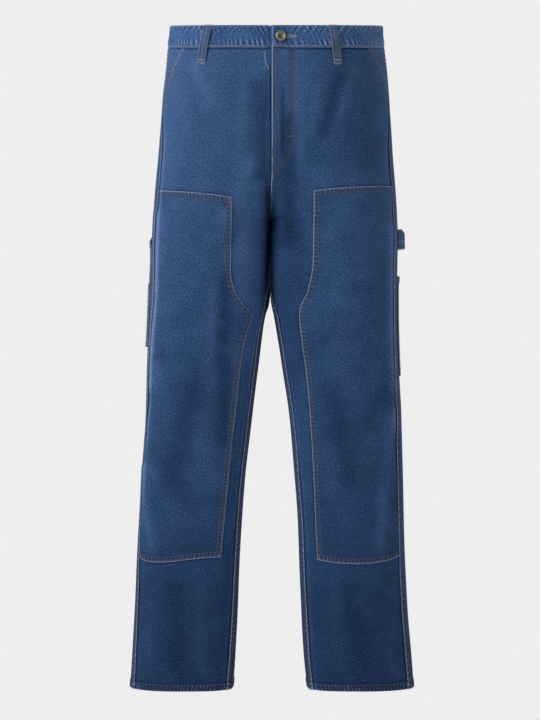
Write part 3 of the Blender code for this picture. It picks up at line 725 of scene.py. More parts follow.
class Panel:
    """One grid of cloth between two lines and two columns, with distances along it in millimetres.

    room is how many columns more than usual an edge may run on past its own column.
    """

    def __init__(self, side, place, lines, columns, room=0.0):
        self.side = side
        self.room = room
        self.place = place
        self.lines = lines
        self.columns = columns

    def bare(self, line, column):
        return cloth_point(self.side, *self.place(self.side, line, column))

    def columns_at(self, line, distance, from_last=False):
        """The columns so far along the cloth from the first or the last column, on each line."""
        line = np.asarray(line, float).reshape(-1, 1)
        distance = np.broadcast_to(distance, (len(line), np.shape(distance)[-1]))
        room = EDGE_ROOM * (self.columns[1] - self.columns[0]) + self.room
        samples = np.linspace(self.columns[0] - room, self.columns[1] + room, COLUMN_SAMPLES)
        points = self.bare(line, samples[None, :])
        lengths = np.cumsum(np.linalg.norm(np.diff(points, axis=1), axis=2), axis=1)
        lengths = np.concatenate((np.zeros((len(line), 1)), lengths), axis=1)
        found = np.empty(distance.shape)
        for row in range(len(line)):
            border = np.interp(self.columns[1 if from_last else 0], samples, lengths[row])
            target = border - distance[row] if from_last else border + distance[row]
            found[row] = np.interp(target, lengths[row], samples)
        return found

    def line_size(self, at):
        """Millimetres in one line of the grid just inside its first or last line, halfway across."""
        column = (self.columns[0] + self.columns[1]) / 2.0
        inward = LINE_STEP if at == self.lines[0] else -LINE_STEP
        pair = self.bare(np.array([at, at + inward]), column)
        return np.linalg.norm(pair[1] - pair[0]) / LINE_STEP

    def lines_at(self, distance, from_last=False):
        """The lines so far along the cloth from the first or the last line."""
        distance = np.asarray(distance, float)
        if from_last:
            return self.lines[1] - distance / self.line_size(self.lines[1])
        return self.lines[0] + distance / self.line_size(self.lines[0])


def edge_steps(style):
    """Distances and drops of the columns or lines beside an edge, from outside in."""
    distances = [pair[0] for pair in style] + list(FACE_STEPS)
    drops = [pair[1] for pair in style] + [0.0] * len(FACE_STEPS)
    return np.array(distances), np.array(drops)


EDGES = ("top", "bottom", "first", "last")
MIDDLE_SAMPLES = 60
Sheet = namedtuple("Sheet", "points wear dye sewn uv")
Spot = namedtuple("Spot", "line column level top bottom first last place")


def even_steps(points, spacing):
    """How many steps of about this spacing lie along a row of points."""
    length = np.linalg.norm(np.diff(points, axis=0), axis=1).sum()
    return max(int(length / spacing), 2)


def panel_sheet(panel, styles, spacing, relief, mixes=None, shifts=None):
    """The points and finish masks of a panel; styles names how its four edges are turned.

    Each dictionary has the edges as its keys. A mix is a function of the line that goes from 0, the style,
    to 1, a tucked edge. A shift is a function of the line too, and says how far an edge runs on past its
    column. relief(panel, spot) gives each point's lift, wear and painted highlight, dye and painted shade,
    and sewn thread.
    """
    mixes = mixes or {}
    shifts = shifts or {}
    top_distance, top_drop = edge_steps(styles["top"])
    end_distance, end_drop = edge_steps(styles["bottom"])
    first_lines = panel.lines_at(top_distance)
    last_lines = panel.lines_at(end_distance, True)[::-1]
    middle = np.linspace(first_lines[-1], last_lines[0], MIDDLE_SAMPLES)
    steps = even_steps(panel.bare(middle, sum(panel.columns) / 2.0), spacing[0])
    between = np.linspace(first_lines[-1], last_lines[0], steps + 1)[1:-1]
    lines = np.concatenate((first_lines, between, last_lines))[:, None]
    line_drop = np.concatenate((top_drop, np.zeros(len(between)), end_drop[::-1]))[:, None]
    tucked_distance, tucked_drop = edge_steps(TUCKED)
    borders = {}
    for edge in ("first", "last"):
        distance, drop = edge_steps(styles[edge])
        mix = mixes[edge](lines) if edge in mixes else np.zeros(lines.shape)
        shift = shifts[edge](lines) if edge in shifts else 0.0
        borders[edge] = (
            (1.0 - mix) * distance + mix * tucked_distance - shift,
            (1.0 - mix) * drop + mix * tucked_drop,
        )
    first_columns = panel.columns_at(lines, borders["first"][0])
    last_columns = panel.columns_at(lines, borders["last"][0], True)[:, ::-1]
    halfway = len(lines) // 2
    middle = np.linspace(first_columns[halfway, -1], last_columns[halfway, 0], MIDDLE_SAMPLES)
    steps = even_steps(panel.bare(lines[halfway], middle), spacing[1])
    shares = np.linspace(0.0, 1.0, steps + 1)[None, 1:-1]
    between = first_columns[:, -1:] * (1.0 - shares) + last_columns[:, :1] * shares
    columns = np.concatenate((first_columns, between, last_columns), axis=1)
    column_drop = np.concatenate(
        (borders["first"][1], np.zeros(between.shape), borders["last"][1][:, ::-1]), axis=1
    )
    return cloth_sheet(panel, lines, columns, line_drop + column_drop, relief)


def lengths_along(points, grid, axis):
    """The length along each row or column of a grid, which runs back where the grid's numbers do."""
    steps = np.linalg.norm(np.diff(points, axis=axis), axis=2) * np.sign(np.diff(grid, axis=axis))
    start = np.zeros_like(np.take(steps, [0], axis=axis))
    return np.concatenate((start, np.cumsum(steps, axis=axis)), axis=axis)


def cloth_sheet(panel, lines, columns, drop, relief):
    """Points of a sheet on a grid of lines and columns, with the distances that its relief needs."""
    lines = np.broadcast_to(lines, columns.shape)
    turn, level = panel.place(panel.side, lines, columns)
    bare = cloth_point(panel.side, turn, level)
    normal = cloth_normal(panel.side, turn, level)
    across = lengths_along(bare, columns, 1)
    down = lengths_along(bare, lines, 0)
    spot = Spot(
        lines,
        columns,
        level,
        down - zero_at(down, lines, panel.lines[0], 0),
        zero_at(down, lines, panel.lines[1], 0) - down,
        across - zero_at(across, columns, panel.columns[0], 1),
        zero_at(across, columns, panel.columns[1], 1) - across,
        bare,
    )
    lift, wear, dye, sewn = relief(panel, spot)
    folded = fold_height(panel.side, turn, level)
    # Painted highlight on the crests of the folds and painted shade in their troughs.
    wear += 0.17 * np.maximum(folded, 0.0)
    # The lower legs are made darker: painted shade for the light falling off downwards.
    low = smooth((LOW_DARKENING_LEVEL - level) / LOW_DARKENING_HEIGHT)
    dye = dye + (0.25 - 0.14 * low) * np.maximum(-folded, 0.0) + LOW_DARKENING * low
    height = folded + lift - drop
    points = soften_crotch(bare + normal * height[..., None], bare)
    uv = np.stack((across - across[:, :1], -level), axis=-1) * MM
    return Sheet(points, wear, dye, sewn, uv)


# Strength, level and height of the darkening of the lower legs: painted shade for the light falling off
# downwards.
LOW_DARKENING = 0.46
LOW_DARKENING_LEVEL = -760.0
LOW_DARKENING_HEIGHT = 160.0
CROTCH_SOFT_STEPS = 60


def soften_crotch(points, bare):
    """Evens out the cloth along the panel where the thighs begin to part."""
    across = np.abs(bare[..., 0])
    mask = bump(bare[..., 2] - CROTCH_LEVEL, 26.0)
    mask = mask * smooth((across - 2.0) / 6.0) * smooth((66.0 - across) / 20.0)
    if mask.max() < 0.01:
        return points
    mask = mask[1:-1, :, None]
    points = points.copy()
    for _step in range(CROTCH_SOFT_STEPS):
        even = (points[:-2] + points[2:]) / 2.0
        points[1:-1] += 0.5 * mask * (even - points[1:-1])
    return points


def zero_at(lengths, grid, border, axis):
    """The length at a border, read on each row or column of the grid."""
    if axis == 0:
        order = np.argsort(grid[:, 0], kind="stable")
        found = [np.interp(border, grid[order, 0], lengths[order, i]) for i in range(lengths.shape[1])]
        return np.array(found)[None, :]
    found = []
    for i in range(lengths.shape[0]):
        order = np.argsort(grid[i], kind="stable")
        found.append(np.interp(border, grid[i, order], lengths[i, order]))
    return np.array(found)[:, None]


def grid_faces(rows, columns, closed=False):
    """The quads of a grid of points; a closed one joins its last column to its first."""
    index = np.arange(rows * columns).reshape(rows, columns)
    if closed:
        index = np.concatenate((index, index[:, :1]), axis=1)
    quads = np.stack((index[:-1, :-1], index[1:, :-1], index[1:, 1:], index[:-1, 1:]), axis=-1)
    return quads.reshape(-1, 4)


def add_mask(mesh, name, values):
    """A number on each point of a mesh, for its material."""
    values = np.array(values, np.float32).ravel()
    mesh.attributes.new(name, "FLOAT", "POINT").data.foreach_set("value", values)


def cloth_object(name, mesh, masks, uv, material, nodes):
    """A piece of cloth with its masks and its own map, standing for its solids."""
    for mask, values in masks.items():
        add_mask(mesh, mask, values)
    corners = np.empty(len(mesh.loops), np.int32)
    mesh.loops.foreach_get("vertex_index", corners)
    layer = mesh.uv_layers.new(name="cloth")
    layer.data.foreach_set("uv", uv.reshape(-1, 2)[corners].astype(np.float32).ravel())
    mesh.materials.append(material)
    mesh.shade_smooth()
    return placed(name, mesh, nodes)


def sheet_object(name, sheet, side, material, nodes):
    """One mesh of a sheet's grid; the right half's faces are turned round, because it is mirrored."""
    quads = grid_faces(*sheet.points.shape[:2])
    if side == RIGHT:
        quads = quads[:, ::-1]
    mesh = bpy.data.meshes.new(name)
    mesh.from_pydata((sheet.points.reshape(-1, 3) * MM).tolist(), [], quads.tolist())
    masks = {"wear": sheet.wear, "dye": sheet.dye, "sewn": sheet.sewn}
    return cloth_object(name, mesh, masks, sheet.uv, material, nodes)


def placed(name, mesh, nodes=()):
    """An object of the garment, riding on its body."""
    piece = bpy.data.objects.new(name, mesh)
    bpy.context.scene.collection.objects.link(piece)
    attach(piece, BODY)
    if nodes:
        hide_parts(*nodes)
    return piece


def seam_relief(distance, along, seed, lap=0.0, width=9.0, pitch=8.0, depth=1.0, slant=0.5, wave=ripple):
    """The lap, ripples and worn crests of a sewn edge: lift, wear, dye with painted shade in the hollows, and
    the share of thread seen.
    """
    pucker = cloth_settings().pucker / MM * depth
    wave = wave(along + slant * distance, pitch, seed)
    window = smooth((width + 2.0 - distance) / 4.0) * smooth((distance + 0.5) / 1.5)
    lift = lap * (1.0 - smooth((distance - width + 1.0) / 5.0)) + pucker * wave * window
    crest = np.clip(wave, 0.0, 1.0) * window
    hollow = np.clip(-wave, 0.0, 1.0) * window
    wear = 0.85 * depth * crest + 1.35 * bump(distance - 0.2, 1.2)
    # Darker in the ripples' hollows: kept dye and painted shade.
    dye = 0.9 * depth * hollow + 0.10 * window
    return lift, wear, dye, window * (0.35 + 0.45 * wave)


def soft_waves(spot, seed):
    """Slight unevenness of the whole cloth."""
    level, across = spot.level, spot.first
    wave = np.sin(level / 47.0 + 1.3 * seed) * np.sin(across / 39.0 + seed)
    wave = wave + 0.6 * np.sin(level / 23.0 + across / 61.0 + 2.1 * seed)
    return 0.35 * wave


def fly_lift(side, line, across):
    """How far the lapping fly edge stands out from the other panel."""
    if side == RIGHT:
        return np.zeros(np.shape(across))
    slope = (across - FLY_FLAT_WIDTH) / (FLY_SLOPE_END - FLY_FLAT_WIDTH)
    return FLY_RAISE * (1.0 - smooth(slope)) * (1.0 - smooth((line - FLY_END_LINE) / 1.0))


def front_lift(side, spot):
    """The parts of a front's lift that everything laid on it shares."""
    lap = fly_lift(side, spot.line, np.abs(spot.place[..., 0]))
    return lap + soft_waves(spot, 1.0 if side == RIGHT else 2.0) * smooth(spot.last / 20.0)


def front_relief(panel, spot):
    """The fly, the pocket mouth, the hem and the shades of a front."""
    side, across, level = panel.side, spot.place[..., 0], spot.level
    lift = front_lift(side, spot)
    wear = np.zeros(lift.shape)
    dye = np.zeros(lift.shape)
    upper = smooth(CROTCH_LINE - spot.line)
    parts = []
    if side == LEFT:
        below_fly = smooth((spot.line - FLY_END_LINE) / 0.6) * upper
        parts.append((below_fly, seam_relief(spot.first, level, 1.1, 1.0, 8.0, 9.0, 0.8)))
        fly = 1.0 - smooth((spot.line - FLY_END_LINE) / 0.6)
        parts.append((fly, seam_relief(spot.first, level, 2.4, 0.0, 5.0, 5.5, 0.6)))
        wear += 0.9 * bump(spot.first - 0.6, 1.7) * (1.0 - smooth((spot.line - FLY_END_LINE) / 2.0))
        stitched = near_path(FLY_STITCH, np.abs(across), level)
        waves = ripple(level + 0.6 * spot.first, 5.0, 3.3)
        near = bump(stitched, 4.5) * fly
        lift = lift + 0.35 * waves * near - 0.5 * near
        wear += 0.55 * np.clip(waves, 0.0, 1.0) * near
        # A groove beside the fly's stitching, sunk and darkened with painted shade; the hollows of the
        # ripples by the stitching are darker too, with kept dye and painted shade.
        groove = smooth((-85.0 - level) / 30.0) * smooth((level + 215.0) / 30.0)
        groove = bump(across - 18.5, 3.2) * groove
        lift -= 1.0 * groove
        dye = dye + 1.1 * groove + 0.35 * np.clip(-waves, 0.0, 1.0) * near
    else:
        # Painted shade in the trough beside the fly, in the fold next to it and in the hollow inside the curl
        # below the band.
        beside = np.exp(-across / -9.0)
        shade = beside * smooth((-50.0 - level) / 60.0) * smooth((level + 330.0) / 60.0)
        fold = bump(across + 8.0, 5.5) * smooth((-75.0 - level) / 60.0)
        fold *= smooth((level + 290.0) / 80.0)
        lighter = smooth((-60.0 - level) / 40.0) * smooth((level + 280.0) / 60.0)
        lighter = bump(across + 26.0, 9.0) * lighter
        curl = near_path(BAND_CURL, -across, level)
        inner_curl = [(x - 3.0, z) for x, z in BAND_CURL]
        hollow = near_path(inner_curl, -across, level)
        wear += 1.1 * bump(curl, 1.3)
        dye = dye + 1.1 * shade + 0.5 * fold - 0.5 * lighter + 0.8 * bump(hollow, 1.6)
        lift = lift - 1.5 * shade - 0.8 * fold + 0.5 * bump(curl, 1.6)
    past_lap = spot.first - inseam_lap(side, spot.line)
    wide = wide_inseam(side, spot.line)
    lift -= 1.9 * wide * smooth((14.0 - spot.first) / 8.0)
    # A dark line just past the back's lap on the inseam: painted shade with kept dye.
    dye += 0.9 * bump(past_lap - 1.0, 2.4) * (1.0 - upper)
    wear += 0.35 * wide * bump(past_lap - 6.0, 3.5)
    mouth = 1.0 - smooth((spot.line - POCKET_END_LINE + 0.6) / 0.6)
    parts.append((mouth, seam_relief(spot.last, level, 4.1, 0.0, 9.0, 9.0, 0.7)))
    wear += mouth * (0.6 if side == RIGHT else 0.35) * bump(spot.last - 5.0, 4.5)
    parts.append((np.ones(lift.shape), hem_relief(spot, 5.3)))
    band_shade = 1.7 * bump(spot.top - 1.0, 2.4)
    sewn = np.zeros(lift.shape)
    for weight, (more, worn, deep, thread) in parts:
        lift += weight * more
        wear += weight * worn
        dye += weight * deep
        sewn += weight * thread
    dye = dye + 0.8 * band_shade + patch_shadow(spot) + centre_shade(spot)
    # Painted light and shade: the inner thigh of the right half, which faces away from the main lamp, is made
    # lighter, and the inner thigh and the hip of the left half are made darker.
    inner = smooth((-170.0 - level) / 120.0) * smooth((level + 640.0) / 160.0)
    inner *= 1.0 - smooth((np.abs(across) - 40.0) / 34.0)
    if side == RIGHT:
        wear += 0.34 * inner * smooth((np.abs(across) - 12.0) / 8.0)
    else:
        hip_shade = smooth((level + 260.0) / 60.0) * smooth((spot.first - 40.0) / 40.0)
        dye = dye + 0.7 * inner + 0.42 * hip_shade
        strip = fly * smooth((17.0 - spot.first) / 3.0) * smooth((spot.first - 1.5) / 1.5)
        beaded = beads(level + 0.4 * spot.first, 5.0, 2.2)
        sewn += 0.30 * strip * np.clip(0.5 + 1.1 * beaded, 0.0, 2.0)
        dye += 0.5 * strip * np.clip(-beaded, 0.0, 1.0)
        sewn += 0.5 * near * np.clip(0.5 + 0.9 * waves, 0.0, 2.0)
    beside = beside_side_seam(side, spot)
    return lift + beside[0], wear + beside[1], dye + beside[2], sewn


BAND_CURL = ((9.3, -43.0), (8.8, -52.0), (8.2, -59.0), (6.4, -65.0), (3.9, -69.0))


def near_path(spots, across, level):
    """The distance of points from a bent line, in the plane of the front."""
    least = np.full(across.shape, 1e9)
    for start, end in zip(spots, spots[1:]):
        run = np.array(end) - np.array(start)
        share = ((across - start[0]) * run[0] + (level - start[1]) * run[1]) / run.dot(run)
        share = np.clip(share, 0.0, 1.0)
        away = np.hypot(across - start[0] - share * run[0], level - start[1] - share * run[1])
        least = np.minimum(least, away)
    return least


def centre_shade(spot):
    """The deep crease between the thighs, which starts softly below the fly."""
    across = spot.place[..., 0]
    start = smooth((-215.0 - spot.level) / 60.0)
    end = smooth((spot.level + 480.0) / 70.0)
    return 2.0 * start * end * (bump(across + 5.0, 3.2) + 0.25 * bump(across, 3.0))


def patch_shadow(spot):
    """The darker line on a front beside the knee patch's folded edge."""
    inside = smooth((spot.line - PATCH_TOP_LINE) * 8.0) * smooth((PATCH_BOTTOM_LINE - spot.line) * 8.0)
    beside = (FRONT_INNER_COLUMNS - spot.column) * spot.first / np.maximum(spot.column, 0.5)
    above = (PATCH_TOP_LINE - spot.line) * 26.0
    below = (spot.line - PATCH_BOTTOM_LINE) * 36.0
    on_patch = smooth((spot.column - FRONT_INNER_COLUMNS) * 4.0)
    shade = bump(beside, 2.4) * inside * (beside > 0.0)
    return 0.9 * (shade + (bump(above, 2.4) * (above > 0.0) + bump(below, 2.4) * (below > 0.0)) * on_patch)


LapPlace = namedtuple("LapPlace", "line lap")
NARROW_INSEAM = 6.5
INSEAM_LAPS = {
    RIGHT: table(
        LapPlace,
        (12.0, 0.0),
        (14.5, NARROW_INSEAM),
        (16.6, NARROW_INSEAM),
        (18.0, 25.0),
        (20.0, 26.5),
        (25.0, 23.5),
        (31.0, 23.5),
        (36.0, 26.0),
    ),
    LEFT: table(
        LapPlace,
        (12.0, 0.0),
        (14.5, NARROW_INSEAM),
        (16.6, NARROW_INSEAM),
        (18.4, 29.0),
        (20.0, 28.0),
        (22.0, 24.0),
        (31.0, 23.0),
        (36.0, 24.5),
    ),
}
SIDE_LAPS = {
    RIGHT: table(
        LapPlace,
        (4.4, 0.0),
        (7.0, 31.0),
        (10.0, 35.0),
        (16.0, 30.0),
        (20.0, 20.0),
        (24.0, 12.0),
        (29.0, 14.0),
        (36.0, 18.0),
    ),
    LEFT: table(
        LapPlace, (4.4, 0.0), (7.0, 29.0), (10.0, 33.0), (16.0, 29.0), (24.0, 25.0), (36.0, 21.0)
    ),
}


def softened(places, line, step):
    """The lap at a line: the mean of three lines this step apart, which rounds the table's corners."""
    lines, laps = zip(*places)
    return sum(np.interp(line + shift, lines, laps) for shift in (-step, 0.0, step)) / 3.0


def side_lap(side, line):
    """How far the back laps over the front along the side seam, below the pocket."""
    return softened(SIDE_LAPS[side], line, 0.8)


def beside_side_seam(side, spot):
    """What a front or a patch shows beside the back's lap, and how it sinks under it: lift, a painted
    highlight, and painted shade with kept dye.
    """
    lap = side_lap(side, spot.line)
    here = smooth(lap / 8.0)
    inside = spot.last - lap
    upper = smooth((spot.level + 760.0) / 200.0)
    lift = -1.9 * here * smooth((14.0 - spot.last) / 8.0)
    # Painted highlight on the soft ridge beside the seam, stronger on the right half, whose side faces the
    # main lamp.
    wear = here * (0.65 if side == RIGHT else 0.2) * bump(inside - 8.0, 4.5) * (0.3 + 0.7 * upper)
    # A dark line at the lap's edge: painted shade with kept dye.
    dye = here * 0.9 * bump(inside - 0.8, 2.3)
    return lift, wear, dye


def inseam_lap(side, line):
    """How far the back laps over the front along the inseam."""
    return softened(INSEAM_LAPS[side], line, 0.5)


def wide_inseam(side, line):
    """Where the lap reaches round to the front, from 0 to 1."""
    return smooth((inseam_lap(side, line) - NARROW_INSEAM) / 12.0)


def hem_relief(spot, seed):
    """The roped edge of the hem, up to its stitches."""
    more, worn, deep, thread = seam_relief(spot.bottom, spot.first, seed, 0.4, 10.5, 5.8, 1.1, 0.25, beads)
    inside = smooth((11.0 - spot.bottom) / 1.5)
    wave = beads(spot.first + 0.25 * spot.bottom, 5.8, seed)
    above = bump(spot.bottom - 12.5, 2.0)
    worn = worn * 0.45 + 0.55 * inside * np.clip(wave, 0.0, 1.0)
    return more, worn, deep + 0.25 * inside + 0.45 * above, 0.5 * thread


def back_relief(panel, spot):
    side = panel.side
    lift = soft_waves(spot, 3.0 if side == RIGHT else 4.0) * smooth(spot.first / 20.0)
    beside_pocket = smooth((spot.line - POCKET_END_LINE + 0.6) / 1.0)
    at_patch = smooth((spot.line - PATCH_TOP_LINE + 0.6) * 2.0)
    at_patch *= smooth((PATCH_BOTTOM_LINE + 0.8 - spot.line) * 2.0)
    lap = 1.5 * beside_pocket + 0.6 * at_patch
    from_lap = spot.first + side_lap(side, spot.line)
    seam = seam_relief(from_lap, spot.level, 6.2, 0.0, 8.5, 6.6, 0.9, 0.3, beads)
    lift = lift + 0.2 + lap * smooth((-3.0 - spot.first) / 12.0)
    parts = [seam, hem_relief(spot, 7.4)]
    below = 1.0 - smooth(CROTCH_LINE + 0.6 - spot.line)
    past_inseam = spot.last + inseam_lap(side, spot.line)
    wide = wide_inseam(side, spot.line)
    lift += 1.5 * wide * smooth((-3.0 - spot.last) / 12.0)
    inseam = seam_relief(past_inseam, spot.level, 9.7, 1.2 * (1.0 - wide), 8.5, 7.0, 1.0, 0.3, beads)
    parts.append(tuple(below * part for part in inseam))
    if side == LEFT:
        upper = smooth(CROTCH_LINE - spot.line)
        centre = seam_relief(spot.last, spot.level, 8.1, 1.1, 8.5, 9.0, 0.8)
        parts.append(tuple(upper * part for part in centre))
    strip = wide * smooth((past_inseam - 4.0) / 5.0) * (1.0 - smooth((past_inseam - 30.0) / 20.0))
    # A dark line just under the band, painted shade, and a darker strip beside the inseam.
    dye = 0.5 * bump(spot.top - 1.0, 3.0) + (0.9 if side == RIGHT else 0.6) * strip
    wear, sewn = np.zeros(lift.shape), np.zeros(lift.shape)
    for more, worn, deep, thread in parts:
        lift, wear, dye, sewn = lift + more, wear + worn, dye + deep, sewn + thread
    return lift, wear, dye, sewn


def patch_relief(panel, spot):
    side = panel.side
    lift = front_lift(side, spot) + WALL + GAP
    lift -= 1.3 * smooth((side_lap(side, spot.line) + 3.0 - spot.last) / 4.0)
    beside = beside_side_seam(side, spot)
    wear, dye, sewn = np.zeros(lift.shape), np.zeros(lift.shape), np.zeros(lift.shape)
    for distance, along, seed, depth in (
        (spot.first, spot.level, 1.7, 0.75),
        (spot.top, spot.first, 2.9, 1.0),
        (spot.bottom, spot.first, 3.8, 1.0),
    ):
        more, worn, deep, thread = seam_relief(distance, along, seed, 0.15, 8.5, 6.4, depth, 0.15, beads)
        lift, wear, dye = lift + more, np.maximum(wear, worn), np.maximum(dye, 1.3 * deep)
        sewn = np.maximum(sewn, thread)
    corner = bump(spot.first - 11.0, 7.0) * bump(spot.top - 13.0, 8.0)
    dye = dye + (0.9 if side == RIGHT else 0.4) * corner + beside[2]
    return lift + beside[0], wear + beside[1], dye, sewn


def plain_relief(extra, seed, edges=EDGES, depth=0.7, width=8.0):
    """The relief of a small piece laid on a panel: its height and its sewn edges."""

    def relief(panel, spot):
        lift = extra(panel, spot)
        wear, dye, sewn = np.zeros(lift.shape), np.zeros(lift.shape), np.zeros(lift.shape)
        for number, edge in enumerate(edges):
            along = spot.first if edge in ("top", "bottom") else spot.level
            distance = getattr(spot, edge)
            seam = seam_relief(distance, along, seed + number, 0.0, width, 7.0, depth, 0.2)
            more, worn, deep, thread = seam
            lift, wear, dye = lift + more, np.maximum(wear, worn), np.maximum(dye, deep)
            sewn = np.maximum(sewn, thread)
        return lift, wear, dye, sewn

    return relief


def feed(tree, node, inputs):
    """Sets a node's inputs, by name or number, to values or joins them to sockets."""
    for key, value in inputs.items():
        if isinstance(value, bpy.types.NodeSocket):
            tree.links.new(value, node.inputs[key])
        else:
            node.inputs[key].default_value = value


def add_node(tree, kind, inputs=None, **settings):
    """The outputs of a new node."""
    node = tree.nodes.new(kind)
    for name, value in settings.items():
        setattr(node, name, value)
    feed(tree, node, inputs or {})
    return node.outputs


def math_node(tree, operation, *values, clamp=False):
    inputs = dict(enumerate(values))
    return add_node(tree, "ShaderNodeMath", inputs, operation=operation, use_clamp=clamp)[0]


def add(tree, first, *others, clamp=False):
    """The sum of sockets and numbers."""
    for other in others:
        first = math_node(tree, "ADD", first, other, clamp=clamp)
    return first


def less(tree, one, two):
    return math_node(tree, "SUBTRACT", one, two)


def times(tree, one, two, clamp=False):
    return math_node(tree, "MULTIPLY", one, two, clamp=clamp)


def mix_colours(tree, share, one, two):
    """The colour between two, which a Mix node has under the identifiers of its colour sockets."""
    node = tree.nodes.new("ShaderNodeMix")
    node.data_type = "RGBA"
    numbers = {socket.identifier: number for number, socket in enumerate(node.inputs)}
    colours = {"Factor_Float": share, "A_Color": one, "B_Color": two}
    feed(tree, node, {numbers[name]: value for name, value in colours.items()})
    return next(socket for socket in node.outputs if socket.identifier == "Result_Color")


def noise(tree, vector, scale, detail=2.0, rough=0.5):
    inputs = {"Vector": vector, "Scale": scale, "Detail": detail, "Roughness": rough}
    return add_node(tree, "ShaderNodeTexNoise", inputs)["Fac"]


def mapped(tree, vector, size, angle=0.0):
    """The vector scaled on each axis and turned in the cloth's plane, which stretches a pattern."""
    inputs = {"Vector": vector, "Rotation": (0.0, 0.0, math.radians(angle)), "Scale": size}
    return add_node(tree, "ShaderNodeMapping", inputs)["Vector"]


def raised(tree, height, depth, **inputs):
    """The direction of a surface with small rises of this depth."""
    return add_node(tree, "ShaderNodeBump", {"Height": height, "Distance": depth, **inputs})["Normal"]


def group_sockets(tree, in_out, kind, names, defaults=()):
    """Adds sockets of one kind to a node group, with their defaults where they have any."""
    for number, name in enumerate(names):
        socket = tree.interface.new_socket(name, in_out=in_out, socket_type="NodeSocket" + kind)
        if defaults:
            socket.default_value = defaults[number]


TWILL_RIBS = 370.0
TWILL_ANGLE = 62.0
HEATHER_ANGLE = -58.0
LOWEST_Z, HIGHEST_Z = -1.04, 0.02


def denim_group():
    """Colour, roughness and height of washed twill, from the cloth's map and its masks."""
    name = "washed denim"
    if name in bpy.data.node_groups:
        return bpy.data.node_groups[name]
    tree = bpy.data.node_groups.new(name, "ShaderNodeTree")
    group_sockets(tree, "INPUT", "Vector", ("Cloth map", "Place"))
    group_sockets(tree, "INPUT", "Float", ("Wear", "Dye", "Sewn"))
    group_sockets(tree, "INPUT", "Color", ("Rubbed", "Worn", "Middle", "Deep", "Thread"))
    group_sockets(tree, "INPUT", "Float", ("Heather", "Streaks", "Mottling", "Fade"), (0.5, 0.35, 0.3, 0.5))
    group_sockets(tree, "OUTPUT", "Color", ("Colour",))
    group_sockets(tree, "OUTPUT", "Float", ("Roughness", "Height"))
    given = add_node(tree, "NodeGroupInput")
    cloth, place = given["Cloth map"], given["Place"]
    heather = noise(tree, mapped(tree, cloth, (1.0, 0.5, 1.0), HEATHER_ANGLE), 760.0, 3.0, 0.8)
    streaks = noise(tree, mapped(tree, cloth, (1.0, 0.09, 1.0)), 560.0, 3.0, 0.7)
    slubs = noise(tree, mapped(tree, cloth, (0.09, 1.0, 1.0)), 700.0, 2.0, 0.6)
    mottling = noise(tree, place, 24.0, 3.0, 0.55)
    turned = mapped(tree, cloth, (TWILL_RIBS, TWILL_RIBS, TWILL_RIBS), TWILL_ANGLE)
    bands = {"Vector": turned, "Scale": 1.0, "Distortion": 0.6, "Detail": 1.0}
    ribs = add_node(tree, "ShaderNodeTexWave", bands, wave_type="BANDS", bands_direction="X")["Fac"]
    # Lighter at the top and darker towards the bottom: in part painted shade for the light falling off down
    # the legs.
    level = add_node(tree, "ShaderNodeSeparateXYZ", {0: place})["Z"]
    ends = {"Value": level, "From Min": LOWEST_Z, "From Max": HIGHEST_Z, "To Min": -0.5, "To Max": 0.5}
    downward_darkening = add_node(tree, "ShaderNodeMapRange", ends)[0]

    def centred(value, strength):
        return times(tree, less(tree, value, 0.5), strength)

    tone = add(
        tree,
        centred(heather, given["Heather"]),
        centred(streaks, given["Streaks"]),
        centred(mottling, given["Mottling"]),
        centred(slubs, 0.22),
        centred(ribs, 0.10),
        times(tree, downward_darkening, given["Fade"]),
    )
    # The wear mask lightens and the dye mask darkens; besides real wear and kept dye, they carry painted
    # highlights and painted shade.
    worn = times(tree, given["Wear"], add(tree, heather, 0.25))
    tone = less(tree, tone, times(tree, given["Dye"], 0.42))
    tone = add(tree, tone, times(tree, worn, 0.75))
    lighter = math_node(tree, "MAXIMUM", tone, 0.0, clamp=True)
    darker = times(tree, tone, -1.0, clamp=True)
    threads = times(tree, given["Sewn"], add(tree, heather, 0.35), clamp=True)
    rubbed = times(tree, less(tree, worn, 0.35), 0.9, clamp=True)
    colour = given["Middle"]
    for share, shade in ((lighter, "Worn"), (darker, "Deep"), (threads, "Thread"), (rubbed, "Rubbed")):
        colour = mix_colours(tree, share, colour, given[shade])
    outputs = {
        "Colour": colour,
        "Roughness": add(tree, 0.80, times(tree, heather, 0.15)),
        "Height": add(tree, ribs, times(tree, streaks, 0.6), times(tree, heather, 0.3)),
    }
    add_node(tree, "NodeGroupOutput", outputs)
    return tree


def new_material(name):
    """A material with its node tree and its one shader."""
    material = bpy.data.materials.new(name)
    material.use_nodes = True
    return material, material.node_tree, material.node_tree.nodes["Principled BSDF"]


def opaque(colour, strength):
    """A colour made weaker or stronger, as a socket takes it."""
    return (*(min(strength * value, 1.0) for value in colour), 1.0)


SEWN_SHADE = 0.78


